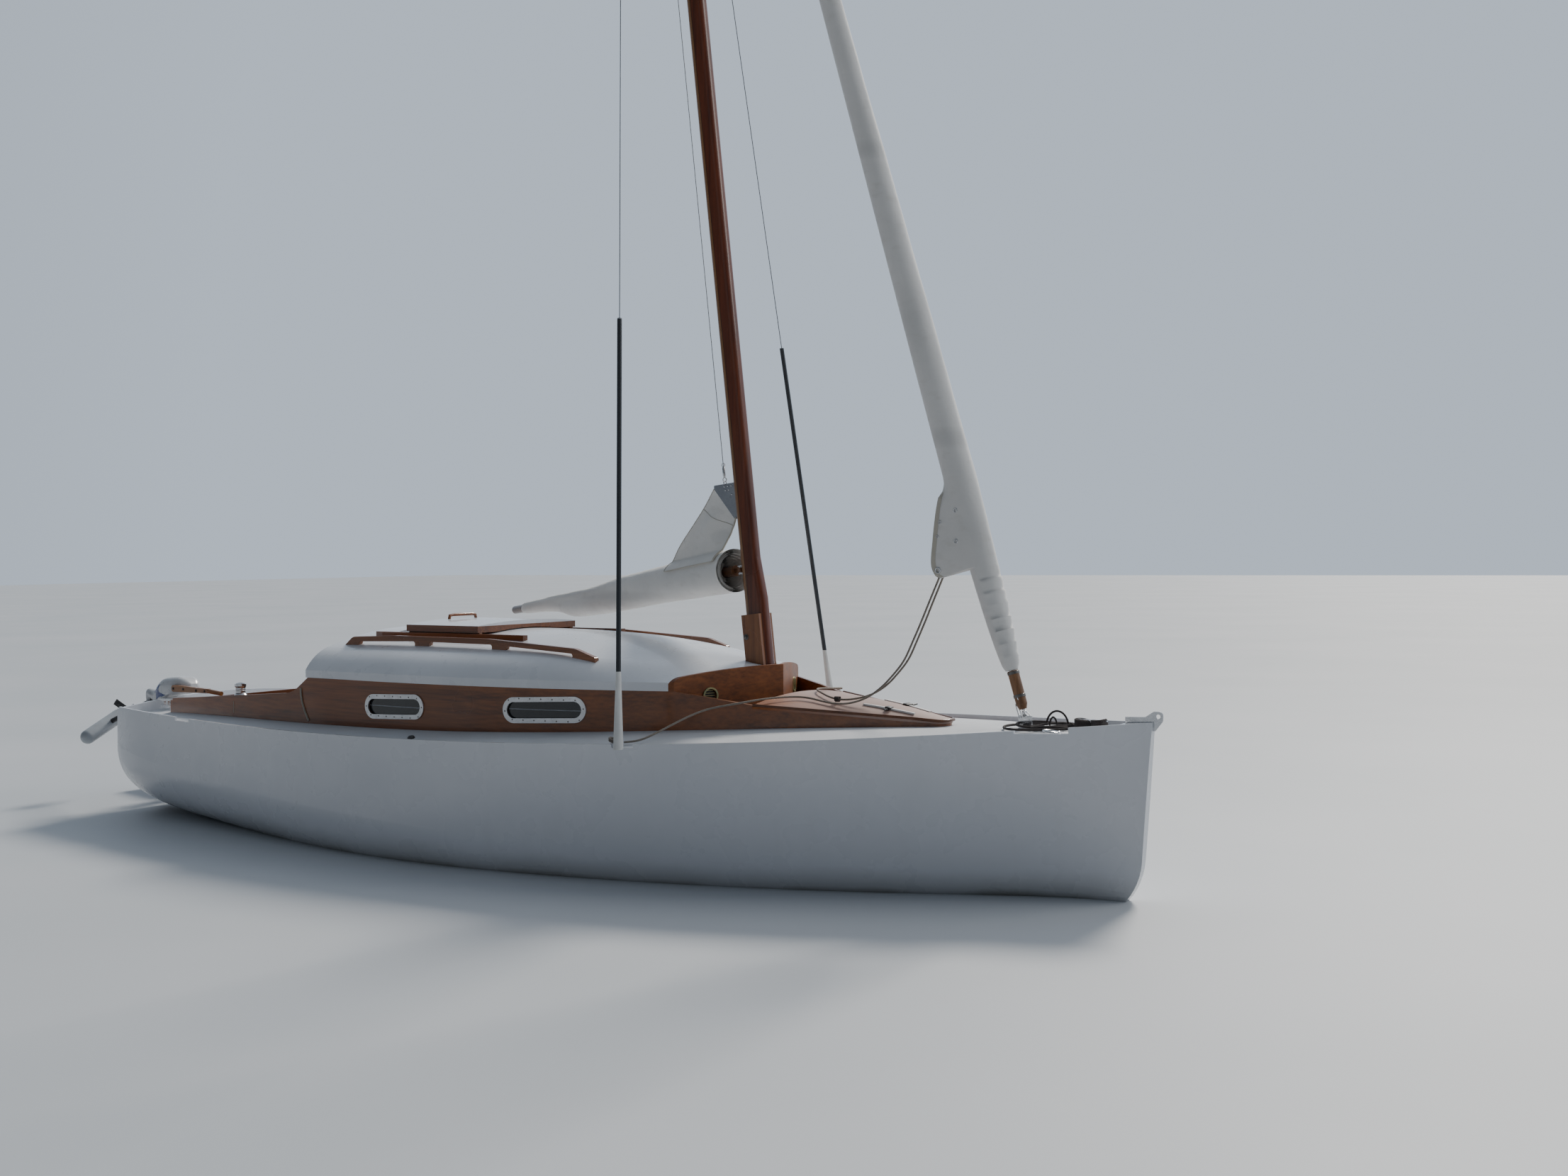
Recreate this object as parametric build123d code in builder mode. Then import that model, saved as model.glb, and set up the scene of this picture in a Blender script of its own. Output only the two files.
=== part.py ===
"""Cabin sailing dinghy, 6.5 m long, afloat at its waterline. Millimetres.

Frame: +X towards the bow, +Y to port, +Z up. The origin is on the centreline at
half length, at the level of the waterline.
"""

import os
from math import atan2, cos, pi, radians, sin, sqrt, tan

from build123d import *

os.makedirs("parts", exist_ok=True)

# Driving dimensions of the hull
LENGTH = 6500
HALF = LENGTH / 2
SKIN = 16
TRANSOM = 25
RIM_TOP = 900
DEEP = -420
BEYOND = 1400
BOW_SHEER = 820
MID_SHEER = 660
STERN_SHEER = 664
BULWARK = 28
DECK_PLY = 12
DECK_CAMBER = 6100
STEM_FOOT_X = 3205
STEM_FOOT_Z = 190
FOREFOOT_X = 2860
FOREFOOT_Z = -115

# Driving dimensions of the cabin and the cockpit
PLANK = 20
TRUNK_TIP = (2185, 71)
TRUNK_NOSE_X = 2230
TRUNK_BEND = (1500, 374)
TRUNK_WIDEST = (-630, 825)
COAMING_END = (-2870, 665)
ROOF_SEAT = 912
ROOF_AFT_X = -1450
ROOF_SKIN = 14
FRONT_APEX_X = 1265
FRONT_CORNER_X = 980
FRONT_BOARD = 22
TRUNK_BOARD = 16
TRUNK_BOARD_AFT_X = 1367
OPENING_AFT_X = -2850

# Driving dimensions of the rig
RAKE = 6.1
MAST_FOOT = (1154, 0, 770)
MAST_LENGTH = 8290
MAST_DEPTH = 104
MAST_WIDTH = 72
MAST_SWELL = 22
SWELL_LOW, SWELL_HIGH = 590, 805
HOUNDS = 7690
CHAINPLATE = (965, 979, 662)
STAY_FOOT = (2626, 0, 812)
GOOSENECK = 749
PIN_AFT = 75
BOOM_SWING = 27
BOOM_LIFT = 0.4
BOOM_LENGTH = 3400

# Driving dimensions of the rudder, the centreboard and the outboard
RUDDER_X = -3295
BLADE_PIVOT = (-3420, 0, 215)
BLADE_LIFT = 78
BOARD_PIVOT = (470, 0, -65)
MOTOR_Y = -350
MOTOR_HEAD = (-3310, MOTOR_Y, 728)
TILT_PIVOT = (-3340, MOTOR_Y, 480)
TILT = 70
STEER = 65
SHAFT_LENGTH = 712


def side_block(points, y_low, y_high, rounds=()):
    """A block with an outline in x and z, between two y; rounds are (point, radius)."""
    with BuildPart() as block:
        with BuildSketch(Plane.XZ.offset(-y_high)) as outline:
            with BuildLine():
                Polyline(*points, close=True)
            make_face()
            for point, radius in rounds:
                fillet(outline.vertices().sort_by_distance(point)[0], radius)
        extrude(amount=y_high - y_low)
    return block.part


def write(piece, label):
    """Names a finished piece and writes it."""
    piece.part.label = label
    export_step(piece.part, f"parts/{label}.step")


# Hull sections: x, half breadth at the rim, bilge y, bilge z, keel z, bilge radius
SECTIONS = [
    (3252, 21, 14, 20, -60, 8),
    (2750, 311, 150, 30, -75, 140),
    (2050, 671, 460, -30, -130, 250),
    (1050, 1009, 800, -70, -165, 300),
    (-150, 1106, 1060, -90, -160, 320),
    (-1350, 1064, 1050, -50, -130, 330),
    (-2350, 944, 930, 20, -70, 330),
    (-3250, 774, 785, 130, 0, 330),
]
INNER_BOW = (3120, 99, 48, 165, 130, 18)


def inset_corner(keel, bilge, rim, inset):
    """The section's keel, bilge and rim points moved inwards by a skin."""
    low = atan2(bilge[1] - keel[1], bilge[0] - keel[0])
    high = atan2(rim[0] - bilge[0], rim[1] - bilge[1])
    keel_in = (0, keel[1] + inset / cos(low))
    rim_in = (rim[0] - inset / cos(high), rim[1])
    # The moved bottom and topside lines cross at the new bilge
    across = tan(high)
    up = tan(low)
    y = (rim_in[0] + across * (keel_in[1] - rim_in[1])) / (1 - across * up)
    return keel_in, (y, keel_in[1] + up * y), rim_in


def hull_section(row, inset):
    """A round-bilged section closed across the rim, on its own plane."""
    x, rim_y, bilge_y, bilge_z, keel_z, radius = row
    keel, bilge, rim = inset_corner(
        (0, keel_z), (bilge_y, bilge_z), (rim_y, RIM_TOP), inset
    )
    with BuildSketch(Plane.YZ.offset(x)) as face:
        with BuildLine():
            port = FilletPolyline(keel, bilge, rim, radius=radius - inset)
            mirror(port, about=Plane.YZ)
            Line((-rim[0], rim[1]), rim)
        make_face()
    return face.sketch


def sheer(x):
    """Height of the bulwark's top at a place along the hull."""
    bend = (BOW_SHEER + STERN_SHEER - 2 * MID_SHEER) / (2 * HALF**2)
    slope = (BOW_SHEER - STERN_SHEER) / LENGTH
    return MID_SHEER + slope * x + bend * x**2


def rim_breadth(x):
    """Half breadth of the hull between the table's rows, near the sheer."""
    for fore, aft in zip(SECTIONS, SECTIONS[1:]):
        if aft[0] <= x <= fore[0]:
            share = (x - aft[0]) / (fore[0] - aft[0])
            return aft[1] + share * (fore[1] - aft[1])
    return SECTIONS[0][1]


def deck_crown(x):
    """Height of the cambered deck on the centreline."""
    return sheer(x) - BULWARK + rim_breadth(x) ** 2 / (2 * DECK_CAMBER)


def deck_section(x, drop):
    """Everything under the deck's upper face, lowered by a drop."""
    crown = deck_crown(x) - drop
    edge = crown - BEYOND**2 / (2 * DECK_CAMBER)
    with BuildSketch(Plane.YZ.offset(x)) as face:
        with BuildLine():
            ThreePointArc((-BEYOND, edge), (0, crown), (BEYOND, edge))
            Polyline((BEYOND, edge), (BEYOND, DEEP), (-BEYOND, DEEP), (-BEYOND, edge))
        make_face()
    return face.sketch


def under_deck(drop):
    """A block whose upper face is the deck's, lowered by a drop."""
    with BuildPart() as block:
        for x in (HALF + 60, 2050, 600, -900, -2350, -HALF - 60):
            add(deck_section(x, drop))
        loft()
    return block.part


with BuildPart() as outer_form:
    for row in SECTIONS:
        add(hull_section(row, 0))
    loft()

with BuildPart() as inner_form:
    for row in [INNER_BOW] + SECTIONS[1:]:
        add(hull_section(row, SKIN))
    loft()
    split(bisect_by=Plane.YZ.offset(-HALF + TRANSOM), keep=Keep.TOP)

# Stem, forefoot and sheer, as seen from the side
with BuildPart() as side_form:
    with BuildSketch(Plane.XZ):
        with BuildLine():
            Line((HALF + 10, RIM_TOP), (STEM_FOOT_X, STEM_FOOT_Z))
            TangentArc(
                (STEM_FOOT_X, STEM_FOOT_Z),
                (FOREFOOT_X, FOREFOOT_Z),
                tangent=(STEM_FOOT_X - HALF - 10, STEM_FOOT_Z - RIM_TOP),
            )
            Polyline(
                (FOREFOOT_X, FOREFOOT_Z),
                (FOREFOOT_X - 300, DEEP),
                (-HALF, DEEP),
                (-HALF, RIM_TOP),
                (HALF + 10, RIM_TOP),
            )
        make_face()
    extrude(amount=BEYOND, both=True)

with BuildPart() as sheer_form:
    with BuildSketch(Plane.XZ):
        with BuildLine():
            ends = [(x, sheer(x)) for x in (-HALF - 60, 0, HALF + 60)]
            ThreePointArc(*ends)
            Polyline(ends[2], (HALF + 60, DEEP), (-HALF - 60, DEEP), ends[0])
        make_face()
    extrude(amount=BEYOND, both=True)

DECK_TOP = under_deck(0)
DECK_UNDER = under_deck(DECK_PLY)

# Centreboard slot: x of its ends and half its width
SLOT_FORE, SLOT_AFT, SLOT_HALF = 560, -760, 17

# Bulwark notches: x of the middle and length
NOTCHES = [(2818, 215), (985, 110), (-2400, 165)]
NOTCH_DEPTH = 20

with BuildPart() as hull_shell:
    add(outer_form.part)
    add(side_form.part, mode=Mode.INTERSECT)
    add(sheer_form.part, mode=Mode.INTERSECT)
    add(inner_form.part, mode=Mode.SUBTRACT)
    split(bisect_by=Plane.YZ.offset(-HALF + TRANSOM), keep=Keep.TOP)
    with BuildSketch(Plane.XY.offset(DEEP)):
        with Locations(((SLOT_FORE + SLOT_AFT) / 2, 0)):
            Rectangle(SLOT_FORE - SLOT_AFT, 2 * SLOT_HALF)
    extrude(amount=-DEEP + 200, mode=Mode.SUBTRACT)
    for x, length in NOTCHES:
        with BuildSketch(Plane.XY.offset(sheer(x) - NOTCH_DEPTH)):
            with Locations((x, 0)):
                Rectangle(length, 2 * BEYOND)
        extrude(amount=200, mode=Mode.SUBTRACT)
write(hull_shell, "hull_shell")

# Tiller port in the transom
PORT_WIDTH, PORT_LOW, PORT_HIGH = 260, 555, 645

with BuildPart() as transom:
    add(outer_form.part)
    split(bisect_by=Plane.YZ.offset(-HALF + TRANSOM), keep=Keep.BOTTOM)
    with BuildSketch(Plane.YZ.offset(-HALF - 20)):
        with BuildLine():
            ThreePointArc((-BEYOND, 530), (0, 706), (BEYOND, 530))
            Polyline((BEYOND, 530), (BEYOND, DEEP), (-BEYOND, DEEP), (-BEYOND, 530))
        make_face()
    extrude(amount=100, mode=Mode.INTERSECT)
    with BuildSketch(Plane.YZ.offset(-HALF - 20)):
        with Locations((0, (PORT_LOW + PORT_HIGH) / 2)):
            RectangleRounded(PORT_WIDTH, PORT_HIGH - PORT_LOW, 30)
    extrude(amount=100, mode=Mode.SUBTRACT)
write(transom, "transom")


def trunk_outline(inset):
    """Plan of the cabin sides and coamings, from the tip to their aft ends."""
    with BuildSketch() as plan:
        with BuildLine():
            fore = Line(TRUNK_TIP, TRUNK_BEND)
            bow = TangentArc(TRUNK_BEND, TRUNK_WIDEST, tangent=fore % 1)
            aft = TangentArc(TRUNK_WIDEST, COAMING_END, tangent=bow % 1)
            mirror(fore, about=Plane.XZ)
            mirror(bow, about=Plane.XZ)
            mirror(aft, about=Plane.XZ)
            ThreePointArc(TRUNK_TIP, (TRUNK_NOSE_X, 0), (TRUNK_TIP[0], -TRUNK_TIP[1]))
            Line(COAMING_END, (COAMING_END[0], -COAMING_END[1]))
        make_face()
        if inset:
            offset(amount=-inset, kind=Kind.INTERSECTION)
    return plan.sketch


def trunk_block(inset, low=300, high=RIM_TOP + 500):
    """The cabin's plan drawn up into a block."""
    with BuildPart() as block:
        add(trunk_outline(inset))
        extrude(amount=high)
        split(bisect_by=Plane.XY.offset(low), keep=Keep.TOP)
    return block.part


def box_part(x_low, x_high, y_low, y_high, z_low, z_high):
    """A plain block between two corners."""
    with BuildPart() as block:
        with BuildSketch(Plane.XY.offset(z_low)):
            with Locations(((x_low + x_high) / 2, (y_low + y_high) / 2)):
                Rectangle(x_high - x_low, y_high - y_low)
        extrude(amount=z_high - z_low)
    return block.part


with BuildPart() as deck:
    add(DECK_TOP)
    add(DECK_UNDER, mode=Mode.SUBTRACT)
    add(inner_form.part, mode=Mode.INTERSECT)
    with BuildSketch():
        add(trunk_outline(PLANK + 12))
        with Locations(((OPENING_AFT_X - HALF) / 2, 0)):
            Rectangle(OPENING_AFT_X + HALF, 2 * BEYOND, mode=Mode.SUBTRACT)
        with Locations(((FRONT_APEX_X - 180 + HALF) / 2, 0)):
            Rectangle(HALF - FRONT_APEX_X + 180, 2 * BEYOND, mode=Mode.SUBTRACT)
    extrude(amount=1000, mode=Mode.SUBTRACT)
write(deck, "deck")

# Top edge of the side planks, drawn in x and z
PLANK_EDGE = [
    (TRUNK_NOSE_X + 60, 300),
    (TRUNK_NOSE_X + 60, 848),
    (TRUNK_BOARD_AFT_X, 848),
    (FRONT_CORNER_X + 6, ROOF_SEAT),
    (ROOF_AFT_X + 18, ROOF_SEAT),
    (-1572, 820),
    (COAMING_END[0] - 30, 721),
    (COAMING_END[0] - 30, 300),
]
PLANK_ROUNDS = [(PLANK_EDGE[4], 25), (PLANK_EDGE[5], 260)]

# Crowned top of the foredeck trunk: x, half breadth, height of the edge and of the crown
TRUNK_TOP = [
    (TRUNK_BOARD_AFT_X, 431, 848, 884),
    (1650, 308, 826, 868),
    (1900, 197, 806, 844),
    (2080, 117, 791, 812),
    (TRUNK_NOSE_X + 10, 60, 777, 780),
]
TOP_MARGIN = 1.2


def trunk_top_form(drop):
    """Everything under the crowned top, lowered by a drop."""
    with BuildPart() as form:
        for x, half, edge, crown in TRUNK_TOP:
            side = TOP_MARGIN * half
            low = crown - TOP_MARGIN**2 * (crown - edge) - drop
            with BuildSketch(Plane.YZ.offset(x)):
                with BuildLine():
                    ThreePointArc((-side, low), (0, crown - drop), (side, low))
                    Polyline((side, low), (side, 600), (-side, 600), (-side, low))
                make_face()
        loft()
    return form.part


TRUNK_TOP_FORM = trunk_top_form(0)
TRUNK_TOP_UNDER = trunk_top_form(TRUNK_BOARD)

# Windows: x and z of the middle, length, height, frame width
WINDOWS = [(287, 802, 486, 134, 25), (-715, 781, 450, 134, 25)]
WINDOW_TILT = 2.0


def window_prism(row, side, grow):
    """A stadium-shaped prism through a cabin side, grown by a margin."""
    x, z, length, height, rim = row
    with BuildPart() as prism:
        with BuildSketch(Plane.XZ.offset(-300 if side > 0 else BEYOND)):
            with Locations((x, z)):
                SlotOverall(length + 2 * grow, height + 2 * grow, rotation=WINDOW_TILT)
        extrude(amount=300 - BEYOND)
    return prism.part


def trunk_breadth(x):
    """Half breadth of the cabin's outer face, aft of the straight bow stretch."""
    end = TRUNK_BEND if x > TRUNK_WIDEST[0] else COAMING_END
    run, rise = end[0] - TRUNK_WIDEST[0], TRUNK_WIDEST[1] - end[1]
    radius = (run**2 + rise**2) / (2 * rise)
    return TRUNK_WIDEST[1] - radius + sqrt(radius**2 - (x - TRUNK_WIDEST[0]) ** 2)


with BuildPart() as above_trunk:
    add(box_part(TRUNK_BOARD_AFT_X, TRUNK_NOSE_X + 10, -BEYOND, BEYOND, 650, 1000))
    add(TRUNK_TOP_UNDER, mode=Mode.SUBTRACT)

PLANK_FORM = side_block(PLANK_EDGE, -BEYOND, BEYOND, PLANK_ROUNDS)
TRUNK_OUTER = trunk_block(0)
TRUNK_INNER = trunk_block(PLANK)


def side_plank(side):
    """A cabin side in one board, from the foredeck to the end of the cockpit."""
    with BuildPart() as plank:
        add(TRUNK_OUTER)
        add(TRUNK_INNER, mode=Mode.SUBTRACT)
        add(PLANK_FORM, mode=Mode.INTERSECT)
        add(above_trunk.part, mode=Mode.SUBTRACT)
        add(DECK_TOP, mode=Mode.SUBTRACT)
        add(box_part(-3000, 3000, side * 700 - 700, side * 700 + 700, 300, 1200), mode=Mode.INTERSECT)
        for row in WINDOWS:
            add(window_prism(row, side, -row[4] + 5), mode=Mode.SUBTRACT)
        add(box_part(-2900, -2845, -800, 800, 300, 900), mode=Mode.SUBTRACT)
    return plank


SIDES = {"port": 1, "starboard": -1}
side_planks = {name: side_plank(side) for name, side in SIDES.items()}
for name, plank in side_planks.items():
    write(plank, f"cabin_side_{name}")

# Window frames follow the plank's bend, and the panes lie inside it
FRAME_PROUD = 7
PANE_IN, PANE = 8, 5
RIM_SHELL = trunk_block(-FRAME_PROUD)
PANE_OUTER = trunk_block(PANE_IN)
PANE_INNER = trunk_block(PANE_IN + PANE)
with BuildPart() as frames:
    for side in SIDES.values():
        for row in WINDOWS:
            add(window_prism(row, side, 0))
            add(window_prism(row, side, -row[4]), mode=Mode.SUBTRACT)
    add(RIM_SHELL, mode=Mode.INTERSECT)
    add(TRUNK_OUTER, mode=Mode.SUBTRACT)
write(frames, "window_frames")
with BuildPart() as panes:
    for side in SIDES.values():
        for row in WINDOWS:
            add(window_prism(row, side, -row[4] + 5))
    add(PANE_OUTER, mode=Mode.INTERSECT)
    add(PANE_INNER, mode=Mode.SUBTRACT)
write(panes, "window_panes")

# Raked front of the cabin: a breakwater in two arms that meet ahead of the mast
FRONT_SLOPE = (FRONT_APEX_X - FRONT_CORNER_X) / 588
FRONT_BACK = FRONT_BOARD * sqrt(1 + FRONT_SLOPE**2)
ARM_END_Y = 640
ARM_END_X = FRONT_APEX_X - FRONT_SLOPE * ARM_END_Y
FRONT_CROWN, FRONT_SHOULDER = 1021, (525, 981)
FRONT_CORNER = (593, 905)
VENT_Y, VENT_Z, VENT_RADIUS = 385, 880, 34


def arm_plane(side):
    """The front face of one arm of the breakwater, at its vent."""
    x = FRONT_APEX_X - FRONT_SLOPE * VENT_Y
    return Plane(origin=(x, side * VENT_Y, VENT_Z), z_dir=(1, side * FRONT_SLOPE, 0))


with BuildPart() as cabin_front:
    with BuildSketch(Plane.XY.offset(400)):
        with BuildLine():
            Polyline(
                (FRONT_APEX_X, 0),
                (ARM_END_X, ARM_END_Y),
                (ARM_END_X - FRONT_BACK, ARM_END_Y),
                (FRONT_APEX_X - FRONT_BACK, 0),
                (ARM_END_X - FRONT_BACK, -ARM_END_Y),
                (ARM_END_X, -ARM_END_Y),
                close=True,
            )
        make_face()
    extrude(amount=700)
    with BuildSketch(Plane.YZ.offset(700)):
        with BuildLine():
            crown = ThreePointArc(
                (-FRONT_SHOULDER[0], FRONT_SHOULDER[1]), (0, FRONT_CROWN), FRONT_SHOULDER
            )
            TangentArc(FRONT_SHOULDER, FRONT_CORNER, tangent=crown % 1)
            TangentArc(crown @ 0, (-FRONT_CORNER[0], FRONT_CORNER[1]), tangent=-(crown % 0))
            Polyline(
                FRONT_CORNER,
                (FRONT_CORNER[0], 300),
                (-FRONT_CORNER[0], 300),
                (-FRONT_CORNER[0], FRONT_CORNER[1]),
            )
        make_face()
    extrude(amount=800, mode=Mode.INTERSECT)
    add(TRUNK_OUTER, mode=Mode.INTERSECT)
    add(DECK_TOP, mode=Mode.SUBTRACT)
    for plank in side_planks.values():
        add(plank.part, mode=Mode.SUBTRACT)
    for side in SIDES.values():
        with BuildSketch(arm_plane(side).offset(-60)):
            Circle(VENT_RADIUS)
        extrude(amount=120, mode=Mode.SUBTRACT)
write(cabin_front, "cabin_front")

with BuildPart() as vent_rings:
    for side in SIDES.values():
        with BuildSketch(arm_plane(side)):
            Circle(VENT_RADIUS + 9)
            Circle(VENT_RADIUS, mode=Mode.SUBTRACT)
        extrude(amount=7)
write(vent_rings, "vent_rings")

# Crowned top board of the foredeck trunk, with a lip past the planks
TRUNK_LIP = 4
with BuildPart() as trunk_top:
    add(trunk_block(-TRUNK_LIP))
    add(TRUNK_TOP_FORM, mode=Mode.INTERSECT)
    add(TRUNK_TOP_UNDER, mode=Mode.SUBTRACT)
write(trunk_top, "foredeck_trunk_top")

# Cabin roof sections: x, height of the crown and radius of the camber
ROOF = [
    (1300, 1004, 1300),
    (1010, 1046, 1560),
    (560, 1120, 2200),
    (150, 1160, 2200),
    (-400, 1175, 2200),
    (-1000, 1175, 2200),
    (ROOF_AFT_X, 1170, 2200),
]
SHOULDER_IN = 165
SHOULDER_Z = 955


def roof_section(x, crown, camber, inset, base):
    """A crowned section with round shoulders and short upright sides."""
    edge = trunk_breadth(x) - inset
    flat = trunk_breadth(x) - SHOULDER_IN
    top = crown - inset
    flat_z = top - flat**2 / (2 * camber)
    with BuildSketch(Plane.YZ.offset(x)) as face:
        with BuildLine():
            arc = ThreePointArc((-flat, flat_z), (0, top), (flat, flat_z))
            TangentArc((flat, flat_z), (edge, SHOULDER_Z), tangent=arc % 1)
            TangentArc((-flat, flat_z), (-edge, SHOULDER_Z), tangent=-(arc % 0))
            Polyline((edge, SHOULDER_Z), (edge, base), (-edge, base), (-edge, SHOULDER_Z))
        make_face()
    return face.sketch


def roof_form(inset, base):
    """The roof's outer or inner form, from the breakwater to the aft end."""
    with BuildPart() as form:
        for x, crown, camber in ROOF:
            add(roof_section(x, crown, camber, inset, base))
        loft()
        with BuildSketch(Plane.XY.offset(700)):
            with BuildLine():
                Polyline(
                    (FRONT_APEX_X - FRONT_BACK, 0),
                    (ARM_END_X - FRONT_BACK, ARM_END_Y),
                    (ARM_END_X - FRONT_BACK, BEYOND),
                    (HALF, BEYOND),
                    (HALF, -BEYOND),
                    (ARM_END_X - FRONT_BACK, -BEYOND),
                    (ARM_END_X - FRONT_BACK, -ARM_END_Y),
                    close=True,
                )
            make_face()
        extrude(amount=700, mode=Mode.SUBTRACT)
    return form.part


ROOF_OUTER = roof_form(0, ROOF_SEAT)
ROOF_INNER = roof_form(ROOF_SKIN, ROOF_SEAT - 30)

# Mast line and the space that the tabernacle takes through the roof
AXIS = (-sin(radians(RAKE)), 0, cos(radians(RAKE)))
MAST = Plane(origin=MAST_FOOT, x_dir=(cos(radians(RAKE)), 0, sin(radians(RAKE))), z_dir=AXIS)
CHEEK, CHEEK_DEPTH = 24, 110
STEP_DEPTH = 104
TABERNACLE_HEIGHT = 510

HATCH_HOLE = (-1235, -735, 310)

with BuildPart() as cabin_roof:
    add(ROOF_OUTER)
    add(ROOF_INNER, mode=Mode.SUBTRACT)
    with BuildSketch(Plane.XY.offset(1000)):
        with Locations(((HATCH_HOLE[0] + HATCH_HOLE[1]) / 2, 0)):
            RectangleRounded(HATCH_HOLE[1] - HATCH_HOLE[0], 2 * HATCH_HOLE[2], 30)
    extrude(amount=300, mode=Mode.SUBTRACT)
    with BuildSketch(MAST):
        with Locations((MAST_SWELL / 2, 0)):
            Rectangle(MAST_DEPTH + MAST_SWELL + 14, MAST_WIDTH + 2 * CHEEK + 8)
    extrude(amount=900, mode=Mode.SUBTRACT)
write(cabin_roof, "cabin_roof")

# Aft bulkhead with the companionway
DOOR_HALF, DOOR_LOW, DOOR_HIGH = 290, 330, 1090
BULKHEAD = 16

with BuildPart() as bulkhead:
    add(box_part(ROOF_AFT_X, ROOF_AFT_X + BULKHEAD, -BEYOND, BEYOND, DEEP, ROOF_SEAT))
    add(inner_form.part, mode=Mode.INTERSECT)
    add(DECK_UNDER, mode=Mode.INTERSECT)
with BuildPart() as bulkhead_crown:
    add(box_part(ROOF_AFT_X, ROOF_AFT_X + BULKHEAD, -BEYOND, BEYOND, 600, 1300))
    add(ROOF_INNER, mode=Mode.INTERSECT)
with BuildPart() as cabin_bulkhead:
    add(box_part(ROOF_AFT_X, ROOF_AFT_X + BULKHEAD, -BEYOND, BEYOND, 600, ROOF_SEAT))
    add(TRUNK_INNER, mode=Mode.INTERSECT)
    add(bulkhead_crown.part)
    add(bulkhead.part)
    add(deck.part, mode=Mode.SUBTRACT)
    add(cabin_roof.part, mode=Mode.SUBTRACT)
    with BuildSketch(Plane.YZ.offset(ROOF_AFT_X - 20)):
        with Locations((0, (DOOR_LOW + DOOR_HIGH) / 2)):
            RectangleRounded(2 * DOOR_HALF, DOOR_HIGH - DOOR_LOW, 40)
    extrude(amount=60, mode=Mode.SUBTRACT)
    for plank in side_planks.values():
        add(plank.part, mode=Mode.SUBTRACT)
write(cabin_bulkhead, "cabin_bulkhead")

# Low board across the aft end of the cockpit
AFT_BOARD_TOP = 712
with BuildPart() as coaming_aft:
    add(box_part(COAMING_END[0], COAMING_END[0] + 25, -800, 800, 500, AFT_BOARD_TOP))
    add(TRUNK_OUTER, mode=Mode.INTERSECT)
    add(DECK_TOP, mode=Mode.SUBTRACT)
write(coaming_aft, "coaming_aft")

# Centreboard case: walls outside the slot, a lid and the pivot pin
CASE_WALL, CASE_TOP, CASE_END = 15, 350, 18
PIN = 8

with BuildPart() as case_form:
    add(
        box_part(
            SLOT_AFT - CASE_END,
            SLOT_FORE + CASE_END,
            -SLOT_HALF - CASE_WALL,
            SLOT_HALF + CASE_WALL,
            DEEP,
            CASE_TOP,
        )
    )
    add(inner_form.part, mode=Mode.INTERSECT)

with BuildPart() as centreboard_case:
    add(case_form.part)
    slot = (SLOT_AFT, SLOT_FORE, -SLOT_HALF, SLOT_HALF, DEEP, CASE_TOP - CASE_WALL)
    add(box_part(*slot), mode=Mode.SUBTRACT)
    with BuildSketch(Plane.XZ.offset(-SLOT_HALF - 5)):
        with Locations((BOARD_PIVOT[0], BOARD_PIVOT[2])):
            Circle(PIN)
    extrude(amount=2 * SLOT_HALF + 10)
write(centreboard_case, "centreboard_case")

# Centreboard, raised in its case
BOARD_HALF = 10
BOARD_TURN = 80
BOARD_LOW, BOARD_FORE = BOARD_PIVOT[2] - BOARD_TURN, BOARD_PIVOT[0] + BOARD_TURN
BOARD_SHAPE = [
    (BOARD_FORE, BOARD_LOW),
    (BOARD_FORE, 20),
    (470, 110),
    (-655, 300),
    (-690, 280),
    (-690, BOARD_LOW),
]
BOARD_ROUNDS = [(BOARD_SHAPE[0], BOARD_TURN), (BOARD_SHAPE[1], 50), (BOARD_SHAPE[4], 30)]

with BuildPart() as centreboard:
    add(side_block(BOARD_SHAPE, -BOARD_HALF, BOARD_HALF, BOARD_ROUNDS))
    with BuildSketch(Plane.XZ.offset(-BOARD_HALF - 5)):
        with Locations((BOARD_PIVOT[0], BOARD_PIVOT[2])):
            Circle(PIN + 0.5)
    extrude(amount=2 * BOARD_HALF + 10, mode=Mode.SUBTRACT)
write(centreboard, "centreboard")

# Soles and benches: x of the aft and fore ends, height, bench height, aisle half width
SOLE = 12
BENCH = 15
ROOMS = {
    "cockpit": (-HALF + TRANSOM, ROOF_AFT_X, 60, 420, 330),
    "cabin": (ROOF_AFT_X + BULKHEAD, 1000, -20, 300, 350),
}

with BuildPart() as soles:
    for aft, fore, floor, *_ in ROOMS.values():
        add(box_part(aft, fore, -BEYOND, BEYOND, floor, floor + SOLE))
    add(inner_form.part, mode=Mode.INTERSECT)
    add(case_form.part, mode=Mode.SUBTRACT)
write(soles, "soles")

with BuildPart() as benches:
    for aft, fore, floor, bench, aisle in ROOMS.values():
        aft_end = max(aft, OPENING_AFT_X)
        for low, high in ((aisle, BEYOND), (-BEYOND, -aisle)):
            add(box_part(aft_end, fore, low, high, bench - BENCH, bench))
        for low, high in ((aisle, aisle + BENCH), (-aisle - BENCH, -aisle)):
            add(box_part(aft_end, fore, low, high, floor + SOLE, bench))
    add(inner_form.part, mode=Mode.INTERSECT)
write(benches, "benches")

# Grab rails along the roof, with three hand gaps between four feet
RAIL_Y, RAIL_HALF, RAIL_GRIP = 582, 14, 28
RAIL_SHAPE = [
    (-1376, 1000),
    (-1376, 1072),
    (-1290, 1137),
    (-950, 1150),
    (-250, 1147),
    (370, 1110),
    (507, 1066),
    (507, 1000),
]
RAIL_GAPS = [(-1240, -790), (-680, -210), (-110, 355)]


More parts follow.
